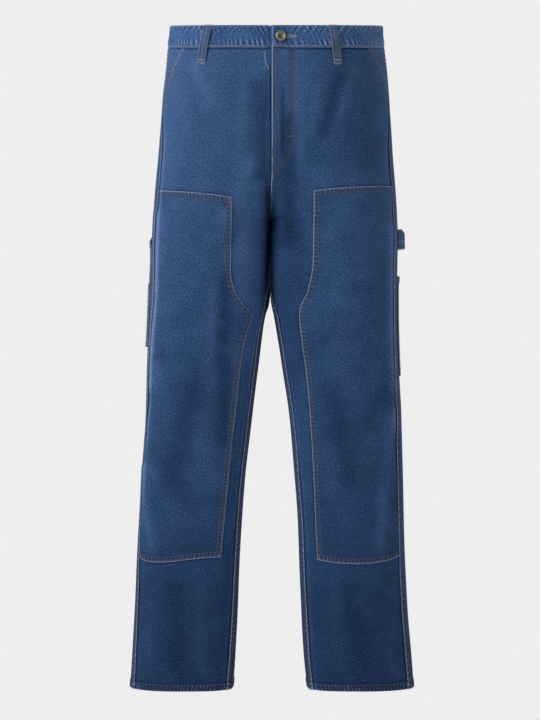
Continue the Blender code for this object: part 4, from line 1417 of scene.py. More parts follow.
def denim(name="washed denim cloth", tint=0.93, heather=4.6, streaks=0.6, mottling=0.45, downward_darkening=0.65, grey=0.0):
    """A denim finish, made once for each name."""
    if name in bpy.data.materials:
        return bpy.data.materials[name]
    material, tree, shader = new_material(name)
    colours = colour_settings()
    shades = {"Rubbed": colours.rubbed, "Worn": colours.light, "Middle": colours.middle, "Deep": colours.dark}
    inputs = {"Heather": heather, "Streaks": streaks, "Mottling": mottling, "Fade": downward_darkening}
    inputs["Thread"] = opaque(colours.thread, SEWN_SHADE)
    for socket, colour in shades.items():
        mean = sum(colour) / 3.0
        inputs[socket] = (*(tint * (value * (1.0 - grey) + mean * grey) for value in colour), 1.0)
    for mask in ("Wear", "Dye", "Sewn"):
        inputs[mask] = add_node(tree, "ShaderNodeAttribute", attribute_name=mask.lower())["Fac"]
    inputs["Cloth map"] = add_node(tree, "ShaderNodeUVMap", uv_map="cloth")["UV"]
    inputs["Place"] = add_node(tree, "ShaderNodeTexCoord")["Object"]
    cloth = add_node(tree, "ShaderNodeGroup", inputs, node_tree=denim_group())
    looks = {
        "Base Color": cloth["Colour"],
        "Roughness": cloth["Roughness"],
        "Normal": raised(tree, cloth["Height"], 0.0004, Strength=0.55),
        "Sheen Weight": 0.03,
        "Sheen Roughness": 0.4,
        "Sheen Tint": (0.5, 0.7, 1.0, 1.0),
        "Specular IOR Level": 0.12,
    }
    feed(tree, shader, looks)
    return material


def thread_material(name, colour):
    """Twisted cotton thread."""
    if name in bpy.data.materials:
        return bpy.data.materials[name]
    material, tree, shader = new_material(name)
    place = add_node(tree, "ShaderNodeTexCoord")["Object"]
    tone, patchy = noise(tree, place, 900.0), noise(tree, place, 60.0)
    share = add(tree, times(tree, tone, 0.6), times(tree, patchy, 0.4))
    looks = {
        "Base Color": mix_colours(tree, share, opaque(colour, 0.45), opaque(colour, 1.25)),
        "Roughness": add(tree, 0.6, times(tree, tone, 0.3)),
        "Normal": raised(tree, tone, 0.0002),
    }
    feed(tree, shader, looks)
    return material


def metal_material():
    """Antique metal: dark in its hollows and rubbed bright on its rims."""
    name = "button metal"
    if name in bpy.data.materials:
        return bpy.data.materials[name]
    material, tree, shader = new_material(name)
    colour = colour_settings().metal
    place = add_node(tree, "ShaderNodeTexCoord")["Object"]
    grain, blotch = noise(tree, place, 1500.0, 3.0), noise(tree, place, 260.0)
    rim = add_node(tree, "ShaderNodeAttribute", attribute_name="wear")["Fac"]
    share = add(tree, times(tree, blotch, 0.5), times(tree, rim, 0.7), clamp=True)
    looks = {
        "Base Color": mix_colours(tree, share, opaque(colour, 0.22), opaque(colour, 1.5)),
        "Roughness": add(tree, 0.3, times(tree, grain, 0.3)),
        "Metallic": 0.85,
        "Normal": raised(tree, grain, 0.0001),
    }
    feed(tree, shader, looks)
    return material


def stitch_tree():
    """Geometry Nodes that lay one small thread after another along sewn rows."""
    name = "topstitching"
    if name in bpy.data.node_groups:
        return bpy.data.node_groups[name]
    tree = bpy.data.node_groups.new(name, "GeometryNodeTree")
    sizes = {"Stitch length": 0.0032, "Thread length": 0.0026, "Thread width": 0.0009}
    angles = {"Turn": 0.0, "Unevenness": 0.12}
    group_sockets(tree, "INPUT", "Geometry", ("Rows",))
    for numbers in (sizes, angles):
        group_sockets(tree, "INPUT", "Float", numbers, tuple(numbers.values()))
    group_sockets(tree, "INPUT", "Int", ("Seed",), (7,))
    group_sockets(tree, "INPUT", "Material", ("Thread",))
    group_sockets(tree, "OUTPUT", "Geometry", ("Stitches",))
    new = partial(add_node, tree)
    given = new("NodeGroupInput")
    curve = new("GeometryNodeMeshToCurve", {"Mesh": given["Rows"]})
    spaced = {"Curve": curve["Curve"], "Length": given["Stitch length"]}
    points = new("GeometryNodeCurveToPoints", spaced, mode="LENGTH")
    along = new("FunctionNodeAlignRotationToVector", {"Vector": points["Tangent"]}, axis="X")
    outward = new("GeometryNodeInputNamedAttribute", {"Name": "out"}, data_type="FLOAT_VECTOR")
    inputs = {"Rotation": along["Rotation"], "Vector": outward[0]}
    upright = new("FunctionNodeAlignRotationToVector", inputs, axis="Z", pivot_axis="X")
    inputs = {"Seed": given["Seed"], 3: given["Unevenness"], 2: times(tree, given["Unevenness"], -1.0)}
    wobble = new("FunctionNodeRandomValue", inputs, data_type="FLOAT")
    spin = new("ShaderNodeCombineXYZ", {"Z": add(tree, given["Turn"], wobble[1])})
    turned_by = new("FunctionNodeEulerToRotation", {0: spin[0]})
    inputs = {"Rotation": upright["Rotation"], "Rotate By": turned_by[0]}
    turned = new("FunctionNodeRotateRotation", inputs, rotation_space="LOCAL")
    ball = new("GeometryNodeMeshUVSphere", {"Segments": 6, "Rings": 4, "Radius": 0.5})
    lying = {"Geometry": ball["Mesh"], "Rotation": (0.0, math.pi / 2.0, 0.0)}
    width = given["Thread width"]
    inputs = {
        "Points": points["Points"],
        "Instance": new("GeometryNodeTransform", lying)["Geometry"],
        "Rotation": turned["Rotation"],
        "Scale": new("ShaderNodeCombineXYZ", {"X": given["Thread length"], "Y": width, "Z": width})[0],
    }
    copies = new("GeometryNodeInstanceOnPoints", inputs)
    real = new("GeometryNodeRealizeInstances", {"Geometry": copies["Instances"]})
    inputs = {"Geometry": real["Geometry"], "Material": given["Thread"]}
    new("NodeGroupOutput", {"Stitches": new("GeometryNodeSetMaterial", inputs)["Geometry"]})
    return tree


Row = namedtuple("Row", "points normals")
SURFACES = {}
RAY_START = 0.025


def surface(name):
    """The faces of a finished piece, for laying sewing on them."""
    if name not in SURFACES:
        mesh = bpy.data.objects[name].data
        places = [vertex.co.copy() for vertex in mesh.vertices]
        faces = [tuple(face.vertices) for face in mesh.polygons]
        SURFACES[name] = BVHTree.FromPolygons(places, faces)
    return SURFACES[name]


def laid(points, normals, pieces, above=0.3):
    """Points moved along their normals onto the outermost face of the pieces."""
    trees = [surface(name) for name in pieces]
    placed_points = np.array(points, float)
    for number, (point, normal) in enumerate(zip(points, normals)):
        out = Vector(normal)
        start = Vector(point) * MM + out * RAY_START
        nearest = None
        for tree in trees:
            distance = tree.ray_cast(start, -out, 2.0 * RAY_START)[3]
            if distance is not None and (nearest is None or distance < nearest):
                nearest = distance
        reach = RAY_START - (nearest if nearest is not None else RAY_START)
        placed_points[number] = np.array(point) + np.array(normal) * (reach / MM + above)
    return Row(placed_points, np.array(normals, float))


def sewing(name, rows, material, length=None, thread=None, share=0.82, turn=0.0, unevenness=0.10):
    """All stitches of some rows as one mesh; rows are lines of points with outward directions."""
    settings = cloth_settings()
    length = length or settings.stitch
    thread = thread or settings.thread
    points, normals, edges = [], [], []
    for row in rows:
        start = len(points)
        points.extend((row.points * MM).tolist())
        normals.extend(row.normals.tolist())
        edges.extend((start + i, start + i + 1) for i in range(len(row.points) - 1))
    mesh = bpy.data.meshes.new(name + "_rows")
    mesh.from_pydata(points, edges, [])
    outward = mesh.attributes.new("out", "FLOAT_VECTOR", "POINT")
    outward.data.foreach_set("vector", np.array(normals, np.float32).ravel())
    guide = bpy.data.objects.new(name + "_rows", mesh)
    bpy.context.scene.collection.objects.link(guide)
    tree = stitch_tree()
    modifier = guide.modifiers.new("stitches", "NODES")
    modifier.node_group = tree
    values = {
        "Stitch length": length,
        "Thread length": length * share,
        "Thread width": thread,
        "Turn": turn,
        "Unevenness": unevenness,
        "Seed": settings.seed,
        "Thread": material,
    }
    for socket in tree.interface.items_tree:
        if socket.name in values and socket.in_out == "INPUT":
            modifier[socket.identifier] = values[socket.name]
    bpy.context.view_layer.update()
    seen = guide.evaluated_get(bpy.context.evaluated_depsgraph_get())
    made = bpy.data.meshes.new_from_object(seen)
    made.name = name
    guide.modifiers.remove(modifier)
    bpy.data.objects.remove(guide, do_unlink=True)
    made.shade_smooth()
    return placed(name, made)


def purl(name, rows, material, width=2.4):
    """Dense stitches laid across their rows, as in bartacks and buttonholes."""
    return sewing(name, rows, material, 0.0006, 0.00075, width / 0.6, math.pi / 2.0, 0.12)


def seam_row(panel, distance, edge, span, pieces, above=0.3, shift=None):
    """A row of sewing so far inside an edge of a panel, over a span of lines or columns."""
    low, high = span
    if edge in ("first", "last"):
        line = np.linspace(low, high, int(abs(high - low) * 16) + 6)
        inside = distance - shift(line)[:, None] if shift else np.full((len(line), 1), distance)
        column = panel.columns_at(line, inside, edge == "last")[:, 0]
    else:
        column = np.linspace(low, high, int(abs(high - low) * 10) + 6)
        line = np.full(column.shape, float(panel.lines_at(distance, edge == "bottom")))
    turn, level = panel.place(panel.side, line, column)
    return laid(*on_cloth(panel.side, turn, level), pieces, above)


def curve_through(spots, step=2.0):
    """Even points on a soft curve through a few spots."""
    spots = np.array(spots, float)
    ends = np.concatenate((2.0 * spots[:1] - spots[1:2], spots, 2.0 * spots[-1:] - spots[-2:-1]))
    found = []
    for number in range(len(spots) - 1):
        a, b, c, d = ends[number : number + 4]
        count = max(int(np.linalg.norm(c - b) / step), 2)
        for share in np.arange(count) / count:
            found.append(
                0.5
                * (
                    2.0 * b
                    + (c - a) * share
                    + (2.0 * a - 5.0 * b + 4.0 * c - d) * share**2
                    + (3.0 * b - a - 3.0 * c + d) * share**3
                )
            )
    found.append(spots[-1])
    return np.array(found)


def path_row(side, spots, pieces, face=(0.0, SIDE_SEAM_TURN), above=0.3, step=2.0):
    """A row of sewing through spots given as across and level on one face."""
    path = curve_through(spots, step)
    turn = turn_at(side, path[:, 0], path[:, 1], *face)
    return laid(*on_cloth(side, turn, path[:, 1]), pieces, above)


def front(side):
    return Panel(side, front_place, (0.0, LAST_LINE), (0.0, FRONT_COLUMNS))


def back(side):
    return Panel(side, back_place, (0.0, LAST_LINE), (0.0, BACK_COLUMNS), 1.4)


def knee_patch(side):
    return Panel(side, front_place, (PATCH_TOP_LINE, PATCH_BOTTOM_LINE), (FRONT_INNER_COLUMNS, FRONT_COLUMNS))


def facing(side):
    return Panel(side, facing_place, (0.0, POCKET_END_LINE), (0.0, FACING_COLUMNS))


def tan():
    return thread_material("grey tan thread", colour_settings().thread)


def rust():
    return thread_material("brown thread", colour_settings().rust_thread)


def pale():
    return thread_material("pale thread", tuple(0.36 + 1.5 * value for value in colour_settings().thread))


ROW_NEAR = 2.0
ROW_FAR = 8.0
HEM_ROW = 10.2
Flat = namedtuple("Flat", "flat area")
FLAT = {
    "front": Flat((0.29, 1.06), 0.250),
    "back": Flat((0.43, 1.09), 0.378),
    "patch": Flat((0.24, 0.60), 0.110),
    "facing": Flat((0.055, 0.115), None),
    "coin": Flat((0.045, 0.060), None),
    "tool": Flat((0.145, 0.205), None),
    "rule": Flat((0.075, 0.125), None),
    "hammer": Flat((0.205, 0.048), None),
    "back_pocket": Flat((0.14, 0.155), None),
    "band": Flat((0.955, 0.0375), None),
    "loop": Flat((0.0145, 0.066), None),
}


def declare(kind, rests_on=None):
    """Works out the cut size of a piece of cloth and whether it hangs or rests on another; the result isn't
    kept.
    """
    cut = FLAT[kind]
    said = {"held": "laid", "rests_on": [rests_on]} if rests_on else {"held": "hung", "rests_on": ()}
    if cut.area:
        said["area"] = cut.area


def make_cloth(node, kind, panel, edges, spacing, relief, rests_on=None, slot="denim", material=None, **ends):
    """One piece of cut cloth in place of its solid; gives the name of its object."""
    sheet = panel_sheet(panel, dict(zip(EDGES, edges)), spacing, relief, **ends)
    name = node + "_cloth"
    piece = sheet_object(name, sheet, panel.side, material or denim(), [node])
    declare(kind, rests_on)
    return name


OPEN_TOP = (FOLD_UNDER, SEWN_DOWN, SEWN_DOWN, SEWN_DOWN)


def make_fronts():
    rows = []
    for side in SIDES:
        panel = front(side)
        mixes = {"last": lambda line: smooth((line - POCKET_END_LINE + 0.7) / 0.7)}
        if side == LEFT:
            mixes["first"] = lambda line: smooth((line - CROTCH_LINE + 0.4) / 0.4)
        edges = (TUCKED, FOLD_UNDER, TUCKED if side == RIGHT else FOLD_UNDER, FOLD_UNDER)
        name = make_cloth("front_" + side, "front", panel, edges, (2.4, 3.0), front_relief, mixes=mixes)
        rows.append(seam_row(panel, HEM_ROW, "bottom", (0.0, FRONT_COLUMNS), [name]))
    for distance in (ROW_NEAR, ROW_FAR - 1.0):
        rows.append(seam_row(panel, distance, "first", (FLY_END_LINE + 1.0, CROTCH_LINE - 0.2), [name]))
    rows.append(seam_row(panel, ROW_NEAR, "first", (0.0, FLY_END_LINE), [name]))
    for inset in (0.0, 4.0):
        spots = [(across - inset, level + 0.8 * inset) for across, level in FLY_STITCH]
        rows.append(path_row(LEFT, spots, [name]))
    sewing("stitches_fronts", rows, tan())
    sewing("stitches_fronts_mouths", mouth_rows(), rust())
    tacks = [path_row(LEFT, spots, [name], above=0.5, step=1.0) for spots in FLY_TACKS]
    purl("fly_tacks", tacks, tan())


FLY_STITCH = (
    (36.0, -30.0),
    (33.5, -60.0),
    (32.5, -110.0),
    (32.5, -178.0),
    (29.0, -198.0),
    (21.0, -212.0),
    (12.0, -225.0),
    (3.0, -237.0),
)
FLY_TACKS = (
    ((2.6, -194.0), (2.6, -206.0)),
    ((2.6, -214.0), (2.6, -227.0)),
    ((25.0, -175.0), (35.0, -173.5)),
)


def mouth_rows():
    rows = []
    for side in SIDES:
        for distance in (ROW_NEAR, ROW_FAR):
            name = "front_" + side + "_cloth"
            rows.append(seam_row(front(side), distance, "last", (0.0, POCKET_END_LINE - 0.4), [name]))
    return rows


def make_backs():
    rows = []
    for side in SIDES:
        panel = back(side)
        mixes = {}
        if side == RIGHT:
            mixes["last"] = lambda line: smooth((CROTCH_LINE + 0.4 - line) / 0.4)
        shifts = {"first": partial(side_lap, side), "last": partial(inseam_lap, side)}
        edges = (TUCKED, FOLD_UNDER, FOLD_UNDER, FOLD_UNDER)
        ends = {"mixes": mixes, "shifts": shifts}
        name = make_cloth("back_" + side, "back", panel, edges, (3.2, 3.6), back_relief, **ends)
        for distance in (ROW_NEAR, ROW_FAR - 1.0):
            rows.append(seam_row(panel, distance, "first", (0.0, LAST_LINE), [name], shift=shifts["first"]))
            if side == LEFT:
                rows.append(seam_row(panel, distance, "last", (0.0, CROTCH_LINE - 0.3), [name]))
            span = (CROTCH_LINE + 6.5, LAST_LINE)
            rows.append(seam_row(panel, distance * 0.85, "last", span, [name], shift=shifts["last"]))
        rows.append(seam_row(panel, HEM_ROW, "bottom", (0.0, BACK_COLUMNS), [name]))
    sewing("stitches_backs", rows, tan())


def make_knee_patches():
    rows = []
    for side in SIDES:
        panel = knee_patch(side)
        edges = (SEWN_DOWN, SEWN_DOWN, SEWN_DOWN, TUCKED)
        under = "front_" + side + "_cloth"
        finish = {"slot": "patch_denim", "material": denim("patch denim washed", 0.90, 4.6, 0.7, 0.6, 0.7)}
        name = make_cloth(
            "knee_patch_" + side, "patch", panel, edges, (2.3, 2.8), patch_relief, under, **finish
        )
        for distance in (2.6, ROW_FAR):
            inset = distance / 28.0
            span = (PATCH_TOP_LINE + inset, PATCH_BOTTOM_LINE - inset)
            rows.append(seam_row(panel, distance, "first", span, [name]))
            span = (FRONT_INNER_COLUMNS + distance / 20.0, FRONT_COLUMNS)
            for edge in ("top", "bottom"):
                rows.append(seam_row(panel, distance, edge, span, [name]))
    sewing("stitches_knee_patches", rows, tan())


def behind_mouth(depth, extra, _panel, spot):
    """The sunk height of cloth in a pocket mouth, which comes up to the side seam."""
    share = (spot.column - 1.0) / (FACING_COLUMNS - 1.0)
    return -depth * (1.0 - smooth(share)) - extra


def make_front_pockets():
    tucked = (TUCKED, TUCKED, TUCKED, TUCKED)
    for side in SIDES:
        depth = WALL + GAP + (GAP + WALL if side == RIGHT else 0.0)
        relief = plain_relief(partial(behind_mouth, depth, 0.4), 1.9, ())
        under = "front_" + side + "_cloth"
        make_cloth("pocket_facing_" + side, "facing", facing(side), tucked, (3.0, 3.0), relief, under)
    lines, columns = (COIN_POCKET_TOP_LINE, POCKET_END_LINE), (0.0, FACING_COLUMNS - 0.6)
    pocket = Panel(RIGHT, facing_place, lines, columns)
    relief = plain_relief(partial(behind_mouth, WALL + GAP, 0.2), 2.6, ("top",))
    edges = (SEWN_DOWN, TUCKED, TUCKED, SEWN_DOWN)
    under = "pocket_facing_right_cloth"
    name = make_cloth("coin_pocket", "coin", pocket, edges, (2.5, 2.5), relief, under)
    span = (0.8, FACING_COLUMNS - 0.7)
    rows = [seam_row(pocket, distance, "top", span, [name]) for distance in (1.6, 7.5)]
    sewing("stitches_coin_pocket", rows, tan())


def tool_pocket_rows(panel, name):
    """Two rows of sewing along each edge of a pocket at the side seam."""
    start, end = panel.lines
    last = panel.columns[1]
    spans = {"top": (0.0, last), "bottom": (0.4, last - 0.3)}
    spans["last"] = spans["first"] = (start + 0.05, end - 0.1)
    return [
        seam_row(panel, distance, edge, span, [name])
        for distance in (1.8, 7.6)
        for edge, span in spans.items()
    ]


def make_tool_pockets():
    rows = []

    def gape(panel, spot):
        near = 1.0 - smooth(spot.line - panel.lines[0])
        from_side = np.minimum(spot.column, TOOL_COLUMNS - spot.column)
        lift = TOOL_POCKET_GAPE * near * smooth(from_side)
        return WALL + GAP + lift + 1.2 * bump(np.maximum(spot.first, 0.0), 6.0)

    def on_pocket(_panel, spot):
        return 2.0 * (WALL + GAP) + 1.2 * bump(np.maximum(spot.first, 0.0), 6.0)

    for side, lines in TOOL_POCKET_LINES.items():
        panel = Panel(side, back_place, lines, (0.0, TOOL_COLUMNS))
        relief, under = plain_relief(gape, 3.3), "back_" + side + "_cloth"
        name = make_cloth("tool_pocket_" + side, "tool", panel, OPEN_TOP, (2.5, 2.8), relief, under)
        rows += tool_pocket_rows(panel, name)
    panel = Panel(RIGHT, back_place, RULE_POCKET_LINES, (0.0, SMALL_POCKET_COLUMNS))
    relief, under = plain_relief(on_pocket, 4.4), "tool_pocket_right_cloth"
    name = make_cloth("rule_pocket_right", "rule", panel, OPEN_TOP, (2.5, 2.5), relief, under)
    rows += tool_pocket_rows(panel, name)
    sewing("stitches_tool_pockets", rows, tan())


def make_hammer_loop():
    panel = Panel(LEFT, back_place, HAMMER_LOOP_LINES, (0.0, TOOL_COLUMNS))

    def bow(_panel, spot):
        share = np.clip(spot.column / TOOL_COLUMNS, 0.0, 1.0)
        corner = 1.0 - 0.4 * (1.0 - smooth(np.maximum(spot.top, 0.0) / 11.0)) ** 2
        return WALL + GAP + 1.12 * corner * HAMMER_LOOP_BOW * np.sin(math.pi * share) ** HAMMER_LOOP_POWER

    edges = (FOLD_UNDER, FOLD_UNDER, SEWN_DOWN, SEWN_DOWN)
    relief = plain_relief(bow, 5.1, ("top", "bottom"), 0.6, 6.0)
    name = make_cloth("hammer_loop", "hammer", panel, edges, (1.6, 2.0), relief, "back_left_cloth")
    rows = [seam_row(panel, distance, "bottom", (0.0, TOOL_COLUMNS), [name]) for distance in (10.5, 14.0)]
    sewing("stitches_hammer_loop", rows, pale())


def make_back_pockets():
    rows = []
    low, high = BACK_POCKET_COLUMNS
    top, end = BACK_POCKET_LINES

    def on_back(_panel, spot):
        return np.full(spot.column.shape, WALL + GAP)

    for side in SIDES:
        panel = Panel(side, back_place, BACK_POCKET_LINES, BACK_POCKET_COLUMNS)
        relief, under = plain_relief(on_back, 6.7), "back_" + side + "_cloth"
        name = make_cloth("back_pocket_" + side, "back_pocket", panel, OPEN_TOP, (2.6, 2.6), relief, under)
        for distance in (1.8, 7.4):
            inset = distance / 24.0
            for edge in ("first", "last"):
                rows.append(seam_row(panel, distance, edge, (top, end - inset), [name]))
            rows.append(seam_row(panel, distance, "bottom", (low + inset, high - inset), [name]))
        for distance in (9.0, 12.0):
            rows.append(seam_row(panel, distance, "top", (low + 0.1, high - 0.1), [name]))
    sewing("stitches_back_pockets", rows, tan())


def tube_object(name, loops, wear, dye, uv, material, nodes):
    """A closed solid from loops of points, one after another, with flat ends."""
    count, around = loops.shape[:2]
    faces = grid_faces(count, around, closed=True).tolist()
    faces += [list(range(around)), list(range((count - 1) * around, count * around))]
    mesh = bpy.data.meshes.new(name)
    mesh.from_pydata((loops.reshape(-1, 3) * MM).tolist(), [], faces)
    shape = bmesh.new()
    shape.from_mesh(mesh)
    bmesh.ops.recalc_face_normals(shape, faces=shape.faces)
    shape.to_mesh(mesh)
    shape.free()
    return cloth_object(name, mesh, {"wear": wear, "dye": dye}, uv * MM, material, nodes)


BAND_FACE_STEPS = 40
BAND_STEP = 1.8
BAND_UNDER_LAP = 34.0
BAND_SINK_TURN = 0.25
BAND_LOW_ROW = 2.3
BAND_TOP_ROW = 1.9
BAND_END_STEPS = 14


def lap_turn(across):
    """The turn on the band's lapping front, so far from the centre."""
    return float(turn_at(LEFT, across, 0.0, 0.0, 1.0))


def band_stations():
    """Side, turn and depth at even steps round the waist, from the lapping end to the end beneath it."""
    start = lap_turn(FLY_EDGE_X)
    under = BAND_INNER - BAND_OUTER - GAP
    end = lap_turn(BAND_UNDER_LAP)
    runs = (
        (LEFT, np.linspace(start, 4.0, 401), 0.0),
        (RIGHT, np.linspace(4.0, 0.0, 401)[1:], under),
        (LEFT, np.linspace(0.0, end, 60)[1:], under),
    )
    sides, turns, depths, places = [], [], [], []
    for side, turn, depth in runs:
        point = cloth_point(side, turn, band_level(side, turn, 0.0))
        sides.extend([side] * len(turn))
        turns.extend(turn)
        places.extend(point)
        if side == RIGHT:
            depths.extend(depth * smooth((BAND_SINK_TURN - turn) / BAND_SINK_TURN))
        else:
            depths.extend([depth] * len(turn))
    places = np.array(places)
    lengths = np.concatenate(([0.0], np.cumsum(np.linalg.norm(np.diff(places, axis=0), axis=1))))
    even = np.arange(0.0, lengths[-1], BAND_STEP)
    ends = np.array([0.25, 0.7])
    even = np.unique(np.concatenate((even, ends, [lengths[-1] - 0.3, lengths[-1]])))
    picks = np.searchsorted(lengths, even).clip(0, len(lengths) - 1)
    exact = np.interp(even, lengths, turns)
    sides = np.array(sides)[picks]
    wrong = np.abs(exact - np.array(turns)[picks]) > 0.05
    exact = np.where(wrong, np.array(turns)[picks], exact)
    return sides, exact, np.interp(even, lengths, depths), even


def band_section():
    """Heights and depths of the band's section, down its face and up inside; the face comes first."""
    half = BAND_HALF_HEIGHT
    face = np.linspace(half - 1.0, -half + 1.0, BAND_FACE_STEPS)
    mid = (BAND_OUTER + BAND_INNER) / 2.0
    thick = (BAND_OUTER - BAND_INNER) / 2.0
    angles = np.radians([20.0, 45.0, 70.0, 90.0, 110.0, 135.0, 160.0])
    low = [(-half + 1.0 - 1.0 * math.sin(a), mid + thick * math.cos(a)) for a in angles]
    inside = [(h, BAND_INNER) for h in np.linspace(-half + 1.0, half - 1.0, 12)]
    high = [(half - 1.0 + 1.0 * math.sin(a), mid - thick * math.cos(a)) for a in angles]
    return [(h, BAND_OUTER) for h in face] + low + inside + high


def make_waistband():
    sides, turns, depths, lengths = band_stations()
    section = band_section()
    pucker = cloth_settings().pucker / MM
    loops = np.zeros((len(turns), len(section), 3))
    wear = np.zeros(loops.shape[:2])
    dye = np.zeros(loops.shape[:2])
    uv = np.zeros((*loops.shape[:2], 2))
    ends = np.minimum(lengths, lengths[-1] - lengths)
    closing = np.sqrt(np.clip(1.0 - (1.0 - np.clip(ends / 0.9, 0.0, 1.0)) ** 2, 0.04, 1.0))
    run = 0.0
    for number, (height, depth) in enumerate(section):
        mid = (BAND_OUTER + BAND_INNER) / 2.0
        face = 1.0 if number < BAND_FACE_STEPS else 0.0
        from_low, from_top = height + BAND_HALF_HEIGHT, BAND_HALF_HEIGHT - height
        low_wave = ripple(lengths + 0.25 * from_low, 7.5, 1.2)
        top_wave = 0.7 * ripple(lengths - 0.6 * from_top, 7.0, 2.7)
        top_wave = top_wave + 0.6 * ripple(lengths + 0.9 * from_top, 11.0, 4.1)
        low = smooth((from_low - 2.0) / 3.0) * bump(np.maximum(from_low - 7.0, 0.0), 7.0)
        high = smooth(from_top / 2.0) * bump(np.maximum(from_top - 5.0, 0.0), 9.0)
        row_low, row_high = bump(from_low - BAND_LOW_ROW, 0.9), bump(from_top - BAND_TOP_ROW, 0.7)
        lift = pucker * (1.5 * low * low_wave + 1.3 * high * top_wave)
        lift = face * (lift - 0.35 * row_low - 0.25 * row_high)
        end_swell = face * 0.6 * bump(lengths - 3.0, 4.0)
        offset = mid + (depth - mid) * closing + lift + end_swell + depths
        for side in SIDES:
            here = sides == side
            level = band_level(side, turns[here], height)
            normal = cloth_normal(side, turns[here], level)
            loops[here, number] = cloth_point(side, turns[here], level) + normal * offset[here, None]
        crest = face * (np.clip(low_wave, 0, 1) * low + 0.9 * np.clip(top_wave, 0, 1) * high)
        borders = 0.9 * bump(from_top, 1.3) + bump(from_low, 1.0) + 1.1 * bump(lengths - 0.6, 1.0)
        wear[:, number] = 1.5 * crest + borders
        hollow = face * (np.clip(-low_wave, 0, 1) * low + np.clip(-top_wave, 0, 1) * high)
        place = loops[:, number]
        # Painted shade round the button, which also keeps the wear away there.
        button_shade = bump(np.hypot(place[:, 0] - BUTTON_X - 2.0, height), 13.0)
        button_shade = button_shade * (place[:, 1] < 0.0) * (lengths < 60.0)
        # The band is made lighter on the wearer's left half, more than 40 mm out from the centre.
        wear[:, number] += 0.22 * face * smooth((lengths - 60.0) / 50.0) * smooth((place[:, 0] - 40.0) / 40.0)
        wear[:, number] *= 1.0 - 0.7 * button_shade
        # Darker in the ripples' hollows, with kept dye and painted shade, and along the sewn rows, painted
        # shade in their grooves.
        dye[:, number] = 1.35 * hollow + 0.7 * face * (row_low + 0.6 * row_high) + 0.55 * button_shade
        if number:
            previous = section[number - 1]
            run += math.hypot(height - previous[0], depth - previous[1])
        uv[:, number] = np.stack((lengths, np.full(len(lengths), run)), axis=-1)
    material = denim("band denim washed", 1.08, 4.0, 0.6, 0.8, 0.4)
    piece = tube_object("waistband_cloth", loops, wear, dye, uv, material, ["waistband"])
    declare("band")
    rows = []
    low, high = BAND_LOW_ROW - BAND_HALF_HEIGHT, BAND_HALF_HEIGHT - BAND_TOP_ROW
    for height in (low, high):
        for side in SIDES:
            turn = np.linspace(0.0, 4.0, 420)
            if side == LEFT:
                turn = turn[turn > lap_turn(FLY_EDGE_X + 1.5)]
            level = band_level(side, turn, height)
            rows.append(laid(*on_cloth(side, turn, level), ["waistband_cloth"]))
    turns = np.full(BAND_END_STEPS, lap_turn(FLY_EDGE_X + 2.2))
    levels = band_level(LEFT, turns, np.linspace(high, low, BAND_END_STEPS))
    rows.append(laid(*on_cloth(LEFT, turns, levels), ["waistband_cloth"]))
    sewing("stitches_waistband", rows, pale(), 0.0028)
    make_buttonhole()


def band_spot(across, height):
    """A point on the band's lapping end with its outward direction."""
    turn = float(turn_at(LEFT, across, height, 0.0, 1.0))
    level = float(band_level(LEFT, turn, height))
    return on_cloth(LEFT, turn, level)


EYE_X, EYE_RADIUS, HOLE_END_X, HOLE_HALF = 24.6, 2.2, 37.0, 1.15


def band_row(path, above):
    """A row of sewing through spots given as across and height on the band's lapping end."""
    places, normals = zip(*(band_spot(across, height) for across, height in path))
    return laid(np.array(places), np.array(normals), ["waistband_cloth"], above)


def make_buttonhole():
    """A keyhole shape of close stitches round a slit, running sideways out from the button; the slit is a row
    of dark thread, painted shade.
    """
    angles = np.radians(np.arange(35.0, 326.0, 15.0))
    eye = [(EYE_X + EYE_RADIUS * math.cos(angle), EYE_RADIUS * math.sin(angle)) for angle in angles]
    sides = np.linspace(EYE_X + 2.4, HOLE_END_X, 12)
    upper = [(x, HOLE_HALF) for x in sides[::-1]]
    lower = [(x, -HOLE_HALF) for x in sides]
    path = upper + eye + lower + [(HOLE_END_X, HOLE_HALF)]
    purl("buttonhole_stitches", [band_row(path, 0.25)], pale(), 1.7)
    # Painted shade: a row of dark thread stands for the shade inside the slit.
    slit = [(x, 0.0) for x in np.linspace(EYE_X - 1.2, HOLE_END_X - 0.8, 24)]
    shade = thread_material("slit shade", (0.02, 0.022, 0.03))
    sewing("buttonhole_slit_shade", [band_row(slit, 0.12)], shade, 0.0008, 0.0014, 1.6)


LOOP_SECTION = 28
LOOP_LENGTH_STEPS = 56


LOOP_LENGTH = 63.0
LOOP_TACKS = (2.0, 55.0, 60.5)
LOOP_TACK_POINTS = 12


